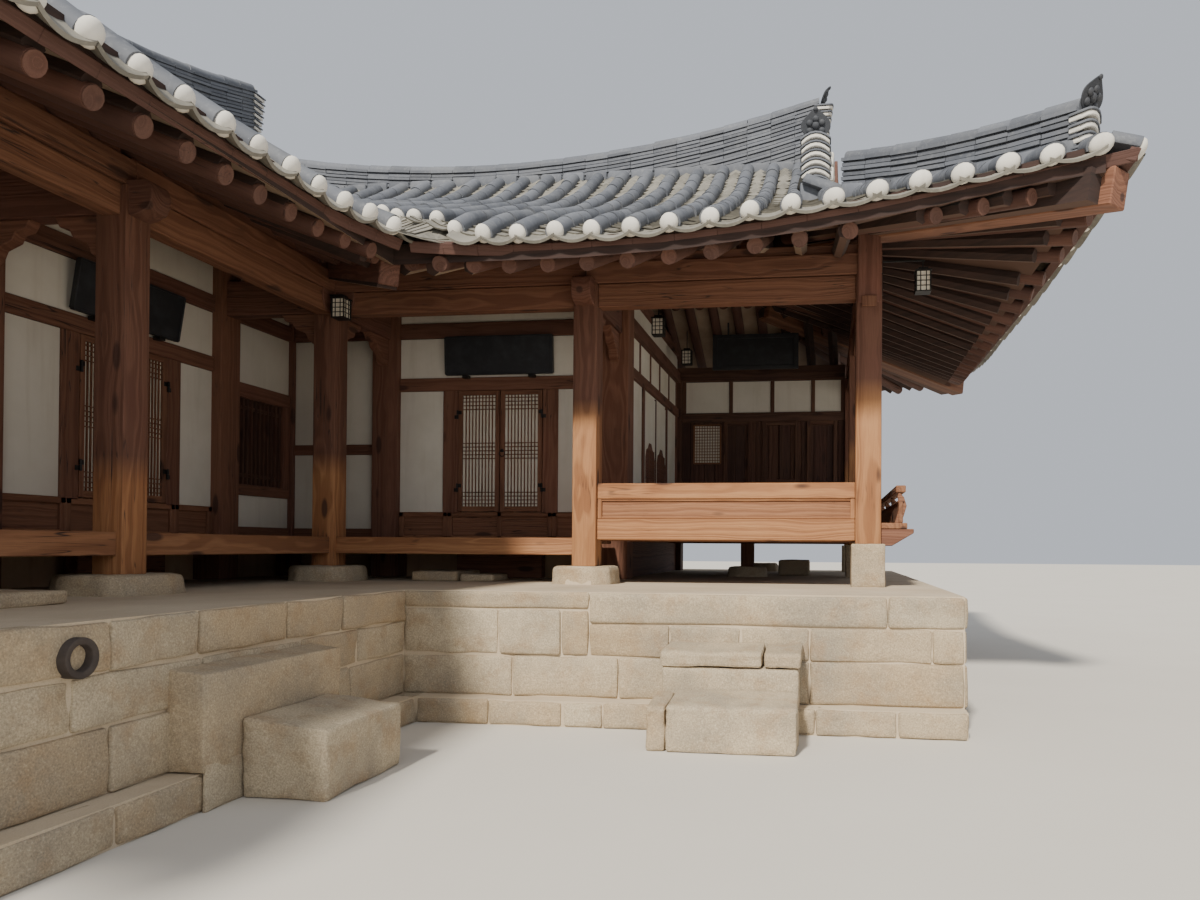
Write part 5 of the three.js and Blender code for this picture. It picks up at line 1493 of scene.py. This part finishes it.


# Boards along the eaves, in lengths, under the lips of the first tiles, darkened as painted shade
def dressEaves():
    spans = {"Front": (1.45, farLine), "Far": (-eave, rearLine), "Rear": (-farLine, -backLine),
             "Court": (nearLine, -1.45), "Near": (backLine, eave), "Back": (-rearLine, -nearLine)}
    boards = []
    for slope, (u0, u1) in spans.items():
        model = timber(0, 0.34, -0.035, 0.03, -0.13, -0.035, 0.05, "x")
        # the tone is held low so that the boards come out darker: painted shade
        board = markTone(repeatUp(model, 0, u0, u1, 0.34, 0), 0.25)
        discard(model)
        boards.append(lay(board, slope))
    for slope, side in (("Front", roof["verge"]), ("Rear", -roof["verge"]),
                        ("Court", roof["nearVerge"]), ("Back", -roof["nearVerge"])):
        model = timber(side, side + math.copysign(0.04, side), 0, 0.3, -0.3, 0.02, 0.1, "y")
        board = repeatUp(model, 0, 1.75, 3.93, 0.3)
        discard(model)
        u, s, h = points(board).T
        x, y = onSlope(slope, u, s)
        setPoints(board, np.column_stack((x, y, tileHeight(s, roof[slopes[slope][3]]) + h)))
        boards.append(board)
    shapeTimber("eaveBoards", boards, material=shadedRafterPine, edge=0.004)


# Rafters: round logs with sawn tips, fanned at the corners, and square hip rafters
def underPoint(x, y, s, drop):
    steep = (4.57 - 3.8547) / 1.305
    height = 2.76 + 0.41 * min(s, 2.67) + steep * max(0, s - 2.67)
    return Vector(bend(np.array([[x, y, height - drop]]))[0])


def beamBetween(a, b, width, height, wearAndSun):
    size = (b - a).length
    ob = timber(-size / 2, size / 2, -width / 2, width / 2, -height / 2, height / 2, wearAndSun, "x")
    turn = (b - a).to_track_quat("X", "Z").to_matrix().to_4x4()
    ob.data.transform(Matrix.Translation((a + b) / 2) @ turn)
    return ob


def logBetween(a, b):
    parts = []
    length = (b - a).length
    for radius, low, high, wearAndSun in ((roof["log"], 0, length, 0.05),
                                    (roof["log"] - 0.004, length, length + 0.012, 0.2)):
        ob = addRod(14, radius, high - low, (0, 0, (low + high) / 2))
        parts.append(markGrain(ob, "z", wearAndSun, 0.3))
    turn = (b - a).to_track_quat("Z", "Y").to_matrix().to_4x4()
    for part in parts:
        part.data.transform(Matrix.Translation(a) @ turn)
    return parts


def rafterOn(slope, start, tip, s0):
    sign = sum(slopes[slope][1])
    drop = roof["log"] - 0.015
    return logBetween(underPoint(*onSlope(slope, start * sign, s0), s0, drop),
                      underPoint(*onSlope(slope, tip * sign, 0.1), 0.1, drop))


def buildRafters():
    step = bay / 8
    near, far = leftEnd + wallLine, depth - wallLine
    runs = {"Front": [(step * 5, rightEnd - step, [(rightEnd - wallLine, rightEnd, 1)])],
            "Rear": [(-depth / 2 + step, rightEnd - step, [(rightEnd - wallLine, rightEnd, 1)]),
                     (wallLine - depth, -depth / 2 - step, [(wallLine - depth, -depth, -1)])],
            "Far": [(wallLine, far, [(wallLine, 0, -1), (far, depth, 1)])],
            "Court": [(leftEnd + step, -step * 5, [(near, leftEnd, -1)])],
            "Back": [(near, far, [(near, leftEnd, -1), (far, depth, 1)])],
            "Near": [(wallLine - depth, -wallLine, [(wallLine - depth, -depth, -1),
                                                    (-wallLine, 0, 1)])]}
    for slope, stretches in runs.items():
        logs = []
        for first, last, fans in stretches:
            for c in np.linspace(first, last, round((last - first) / step) + 1):
                logs += rafterOn(slope, c, c, 2.73)
            for pivot, line, away in fans:
                tips = [line + away * share * eave for share in (0.15, 0.36, 0.57, 0.78)]
                if abs(line - pivot) > 1 and pivot in (first, last):
                    tips += [pivot + away * step * i for i in (1, 2, 3)]
                for tip in tips:
                    logs += rafterOn(slope, pivot + (tip - pivot) * 0.3, tip, 1.87)
        if slope in ("Front", "Court"):
            drop = roof["log"] - 0.015
            for u in (step * i for i in range(1, 5)):
                if slope == "Front":
                    ends = [(u, 1.33, 2.73), (u, 0.22 - u, 1.62 - u)]
                else:
                    ends = [(-1.33, -u, 2.73), (u - 0.22, -u, 1.62 - u)]
                logs += logBetween(*[underPoint(x, y, s, drop) for x, y, s in ends])
        # the logs take the darkened pine: painted shade
        finish(join("rafters" + slope, logs), shadedRafterPine, smooth=40)
    beams = []
    for corner in eaveCorners:
        out = np.sign(corner)
        a, b = [underPoint(*(corner - out * s), s, d) for s, d in ((2.67, 0.15), (0.1, 0.13))]
        beams.append(beamBetween(a, b + (b - a).normalized() * 0.03, 0.226, 0.28, 0.25))
    a, b = underPoint(-0.9, 0.9, 2.3, 0.13), underPoint(1.2, -1.2, 0.2, 0.12)
    beams.append(beamBetween(a, b, 0.176, 0.226, 0.0))
    inner = []
    for x in np.arange(bay + 0.2, rightEnd - 0.3, step):
        for slope in ("Front", "Rear"):
            sign = sum(slopes[slope][1])
            a, b = [underPoint(*onSlope(slope, x * sign, s), s, 0.05) for s in (3.93, 2.62)]
            inner += logBetween(a, b)
    beams.append(timber(bay, rightEnd - 0.72, depth / 2 - 0.09, depth / 2 + 0.09, 4.2, 4.4, 0.05))
    shapeTimber("hipRafters", beams, edge=0.01)
    finish(join("raftersHall", inner), shadedRafterPine, smooth=40)
    planks = []
    for y in np.arange(0.75, depth - 0.75, 0.2):
        s = min(y + 0.1, depth - y - 0.1) + eave
        top = 2.76 + 0.41 * min(s, 2.67) + 0.548 * max(0, s - 2.67)
        if top - 3.9 > 0.1:
            planks.append(timber(4.755, 4.785, y, y + 0.194, 3.88, top, 0.1, "z"))
            planks.append(timber(-y - 0.194, -y, -7.515, -7.485, 3.88, top, 0.1, "z"))
    shapeTimber("gableBoards", planks, edge=0.003)


# Ridges: fat closing tiles, thin courses laid flat, and a row of round tiles on top
ridge = {"wide": 0.26, "layer": 0.046, "closing": 0.15, "joint": 0.3}


def ridgePath(spots):
    spots = np.array(spots)
    steps = np.hypot(*np.diff(spots[:, :2], axis=0).T)
    run = (spots[-1, :2] - spots[0, :2]) / np.hypot(*(spots[-1, :2] - spots[0, :2]))
    return {"t": np.concatenate(([0], np.cumsum(steps))), "spots": spots, "run": run}


def along(path, t, column):
    return np.interp(t, path["t"], path["spots"][:, column])


def onRidge(ob, path, hang):
    t, v, w = points(ob).T
    base, top = along(path, t, 2), along(path, t, 3)
    x = along(path, t, 0) - path["run"][1] * v
    y = along(path, t, 1) + path["run"][0] * v
    z = {"base": base + w, "top": np.maximum(top + w, base + 0.03),
         "core": np.where(w > 0, top - 0.11, base)}[hang]
    setPoints(ob, np.column_stack((x, y, z)))
    return ob


def buildRidge(name, node, path):
    length = path["t"][-1]
    spots = path["spots"]
    layers = math.ceil((max(spots[:, 3] - spots[:, 2]) - 0.2) / ridge["layer"])
    shapes = [(addBox(0, ridge["joint"], -0.1, 0.1, -0.02, 0.02), "core")]
    shapes.append((soften(addBox(0.002, ridge["joint"] - 0.002, -0.155, 0.155, -0.02,
                                 ridge["closing"]), 0.045, 2), "base"))
    for k in range(layers):
        reach = ridge["wide"] / 2 - (0.013 if k % 2 else 0)
        z = -0.1 - k * ridge["layer"]
        shapes.append((addBox(0.002, ridge["joint"] - 0.002, -reach, reach, z - 0.032, z), "top"))
    cap = roundModel(0.088, ridge["joint"], "x")
    cap.data.transform(Matrix.Translation((0, 0, -0.085)))
    shapes.append((cap, "top"))
    parts = []
    for model, hang in shapes:
        row = repeatUp(model, 0, 0, length, ridge["joint"], 0)
        loosen(row, len(model.data.vertices), 0.0025)
        parts.append(onRidge(row, path, hang))
        discard(model)
    finish(join(name, parts), roundTile, (node,) if node else (), smooth=35)


# The end of a ridge: white mortar crescents between dark lips, and a leaf-shaped relief tile
def ridgeEnd(name, path, leaf=True, first=False, foot=0.04, side=0):
    row = 0 if first else -1
    x, y, base, top = path["spots"][row]
    run = path["run"] * (-1 if first else 1)
    turn = Matrix.Translation((x, y, base)) @ Matrix.Rotation(math.atan2(run[1], run[0]), 4, "Z")
    height = top - base
    stack = height - 0.1 - foot
    count = max(1, round(stack / 0.085))
    pitch = stack / count
    dark, pale = [], []
    for i in range(count):
        z = foot + i * pitch
        lean = 0.012 * i
        for parts, reach, thick, low, high in ((pale, 0.14, 0.09, 0.018, 0.06),
                                               (dark, 0.152, 0.1, 0.06, 0.08)):
            ob = addBox(-0.06, lean + thick - 0.03, -reach, reach, z + low, z + high)
            cutAcross(ob, [(0, reach * level / 3, 0) for level in range(-2, 3)], (0, 1, 0))
            places = points(ob)
            share = (places[:, 1] / reach) ** 2
            places[:, 2] -= 0.05 * share
            places[:, 0] -= np.where(places[:, 0] > 0, 0.045 * share, 0)
            setPoints(ob, places)
            parts.append(markTone(soften(ob, 0.008 if parts is pale else 0.004, 1)))
    dark.append(markTone(soften(addBox(-0.1, 0.07, -0.155, 0.155, -0.05, foot + 0.02), 0.035, 2)))
    if side:
        for i in range(4):
            reach = random.uniform(0.14, 0.3)
            lump = addBox(-reach, 0.0, side * 0.12, side * 0.185, i * 0.15 - 0.02, i * 0.15 + 0.13)
            pale.append(markTone(soften(lump, 0.03, 2)))
    if leaf:
        plate = addRod(28, 1, 0.035, turn=(0, math.pi / 2, 0))
        places = points(plate)
        peak = np.maximum(0, places[:, 2])
        places[:, 1] *= 0.16 * (1 - 0.3 * peak ** 3)
        places[:, 2] = places[:, 2] * 0.13 + 0.045 * peak ** 6
        setPoints(plate, places)
        for face in plate.data.polygons:
            face.select = face.normal.x > 0.9
        bpy.ops.object.mode_set(mode="EDIT")
        bpy.ops.mesh.inset(thickness=0.014)
        bpy.ops.mesh.inset(thickness=0.008, depth=-0.012)
        bpy.ops.object.mode_set(mode="OBJECT")
        relief = [soften(plate, 0.004)]
        petals = [(0, 0, 0.034)] + [(0.062 * math.sin(a), 0.062 * math.cos(a) - 0.01, 0.028)
                                    for a in np.arange(6) * math.pi / 3]
        for py, pz, size in petals + [(0, 0.13, 0.02)]:
            clearPick()
            bpy.ops.mesh.primitive_uv_sphere_add(segments=12, ring_count=6, radius=size,
                                                 location=(0.012, py, pz))
            relief.append(settle(bpy.context.object))
            relief[-1].data.transform(Matrix.Diagonal((0.7, 1.15, 1.15, 1)))
        whole = markTone(join("leaf", relief))
        lean = Matrix.Rotation(math.radians(24), 4, "Y")
        whole.data.transform(Matrix.Translation((0.06, 0, height - 0.02)) @ lean)
        whole.data.transform(turn)
        finish(whole, reliefTile, smooth=35)
        whole.name = name + "Leaf"
    else:
        disc = addRod(20, 0.078, 0.05, (0.02, 0, height - 0.085), (0, math.pi / 2, 0))
        pale.append(markTone(soften(disc, 0.012, 2)))
    for label, parts, material, slot in (("Lips", dark, roundTile, "roof_tile"),
                                         ("Mortar", pale, mortar, "plaster")):
        ob = join(name + label, parts)
        ob.data.transform(turn)
        finish(ob, material, smooth=40)


def hipSpots(corner, seat, high):
    out = np.sign(corner)
    spots = []
    for s in np.linspace(high, 0.24, 9):
        x, y, z = bend(np.array([[*(corner - out * s), float(tileHeight(s, seat))]]))[0]
        spots.append((x, y, z - 0.03, z + 0.46))
    return spots


def buildRidges():
    middle = depth / 2
    t = np.linspace(0, 1, 12)
    rightTop = ridgePath([(-2.15 + 7.11 * i, middle, 5.0, 5.35 + 1.66 * (i - 0.387) ** 2)
                          for i in t])
    leftTop = ridgePath([(-middle, -7.86 + 10.16 * i, 5.42, 5.65 + 4 * max(0, i - 0.62) ** 1.6)
                         for i in t])
    buildRidge("ridgeRight", "ridge_right", rightTop)
    buildRidge("ridgeLeft", "ridge_left", leftTop)
    ridgeEnd("ridgeRightEnd", rightTop)
    ridgeEnd("ridgeLeftEnd", leftTop, leaf=False)
    ridgeEnd("ridgeLeftNear", leftTop, first=True)
    hips = {"right_front": (rightSeat, "Front", 4.95, 1),
            "right_rear": (rightSeat, "Rear", -4.95, -1),
            "left_rear": (rightSeat, None, 0, 0), "left_front": (leftSeat, "Back", 7.68, 1),
            "left_court": (leftSeat, "Court", -7.68, -1)}
    for corner, (place, (seat, slope, line, outer)) in zip(eaveCorners, hips.items()):
        name = "hip" + place.title().replace("_", "")
        spots = hipSpots(corner, seat, 1.66 if slope else 3.62)
        path = ridgePath(spots)
        buildRidge(name, "hip_" + place, path)
        ridgeEnd(name + "End", path)
        if slope:
            down = []
            for i in np.linspace(0, 1, 6):
                s = 3.78 - 2.0 * i
                x, y = onSlope(slope, line, s)
                z = float(tileHeight(s, seat))
                down.append((x, y, z - 0.03, z + 0.38 + 0.42 * i * i))
            path = ridgePath(down)
            buildRidge(name + "Gable", None, path)
            ridgeEnd(name + "GableEnd", path, foot=0.24, side=outer)


# Boards, fill and tile bed of the roof bodies, told apart by which way a face looks; the steep
# faces, where the eave board and the void under the tile lips are, are painted near black as their
# shade, and the fill is darker beyond x 4.4 to 4.9
def roofBodyMaterial():
    material, tree, shader = newMaterial("roofBody", 0.92)
    coords = addNode(tree, "TexCoord")
    up = addNode(tree, "SeparateXYZ", {0: coords.outputs["Normal"]}).outputs["Z"]
    place = objectPlace(tree)
    cloud = noise(tree, place, 2.2, 5.0, 0.6)
    streak = noise(tree, objectPlace(tree, (3, 3, 30)), 1.0, 3.0)
    fill = mixColor(tree, ramp(tree, cloud, 0.3, 0.72), (0.42, 0.32, 0.23), (0.27, 0.19, 0.13))
    far = addNode(tree, "SeparateXYZ", {0: place}).outputs["X"]
    fill = mixColor(tree, ramp(tree, far, 4.4, 4.9), fill, (0.1, 0.055, 0.038))
    # steep faces: the eave board and the void under the tile lips, painted near black as painted
    # shade
    board = mixColor(tree, ramp(tree, streak, 0.35, 0.7), (0.05, 0.026, 0.02),
                     (0.025, 0.015, 0.012))
    bed = mixColor(tree, ramp(tree, cloud, 0.3, 0.7), (0.05, 0.05, 0.05), (0.1, 0.098, 0.09))
    color = mixColor(tree, ramp(tree, up, -0.82, -0.7), fill, board)
    color = mixColor(tree, ramp(tree, up, 0.4, 0.5), color, bed)
    tree.links.new(color, shader.inputs["Base Color"])
    addBumps(tree, shader, (cloud, 0.3, 0.012), (noise(tree, place, 90.0, 3.0), 0.3, 0.002))
    return material


dressSlopes()
print("tiles laid")
dressValley()
dressEaves()
buildRafters()
print("eaves and rafters set")
buildRidges()
recolor(roofBodyMaterial(), "roof_right", "roof_left")
print("ridges built")


# Camera where the photograph was taken, with its own off-centre frame
shot = {"place": (5.079, -8.534, 0.364), "yaw": 7.83, "pitch": 0.55, "roll": 0.34, "lens": 26.65,
        "shiftX": -0.0873, "shiftY": 0.0738}


def buildCamera():
    lens = bpy.data.cameras.new("photoCamera")
    lens.lens = shot["lens"]
    lens.sensor_width = 36
    lens.shift_x = shot["shiftX"]
    lens.shift_y = shot["shiftY"]
    lens.clip_end = 300
    camera = bpy.data.objects.new("photoCamera", lens)
    bpy.context.scene.collection.objects.link(camera)
    turn = Matrix.Rotation(math.radians(shot["yaw"]), 4, "Z")
    tilt = Matrix.Rotation(math.radians(90 + shot["pitch"]), 4, "X")
    lean = Matrix.Rotation(math.radians(shot["roll"]), 4, "Z")
    camera.matrix_world = Matrix.Translation(origin + Vector(shot["place"])) @ turn @ tilt @ lean
    bpy.context.scene.camera = camera


# Soft light: a broad key from the courtyard side, pale surroundings for the shade
light = {"key": 5.6, "keyAngle": 5, "from": (-0.2, -1.0, 0.92), "sky": 0.68,
         "skyColor": (0.86, 0.91, 1.0), "bounce": 160}


def addLight(name, kind, power, toward, **values):
    lamp = bpy.data.lights.new(name, kind)
    lamp.energy = power
    for key, value in values.items():
        setattr(lamp, key, value)
    ob = bpy.data.objects.new(name, lamp)
    bpy.context.scene.collection.objects.link(ob)
    ob.rotation_mode = "QUATERNION"
    ob.rotation_quaternion = Vector(toward).to_track_quat("Z", "Y")
    return ob


def buildLights():
    addLight("keyLight", "SUN", light["key"], light["from"], angle=math.radians(light["keyAngle"]),
             color=(1.0, 0.95, 0.86))
    bounce = addLight("bounceLight", "AREA", light["bounce"], (0.15, -1, 0.1), shape="RECTANGLE",
                      size=12, size_y=5)
    bounce.location = origin + Vector((4, -11, 3.5))
    world = bpy.data.worlds.new("studio")
    bpy.context.scene.world = world
    world.use_nodes = True
    sky = world.node_tree.nodes["Background"]
    sky.inputs["Color"].default_value = (*light["skyColor"], 1)
    sky.inputs["Strength"].default_value = light["sky"]


def buildFloor():
    clearPick()
    bpy.ops.mesh.primitive_plane_add(size=160, location=(0, 0, 0))
    floor = bpy.context.object
    floor.name = "studioFloor"
    floor.data.materials.append(surface("paleFloor", 0.9, {"cloud": (0.6, 4.0)}, (0.66, 0.62, 0.55),
                                        [("cloud", 0.0, 1.0, 0.0, 1.0, (0.6, 0.56, 0.49))]))


buildCamera()
buildLights()
buildFloor()
print("camera, lights and floor set")
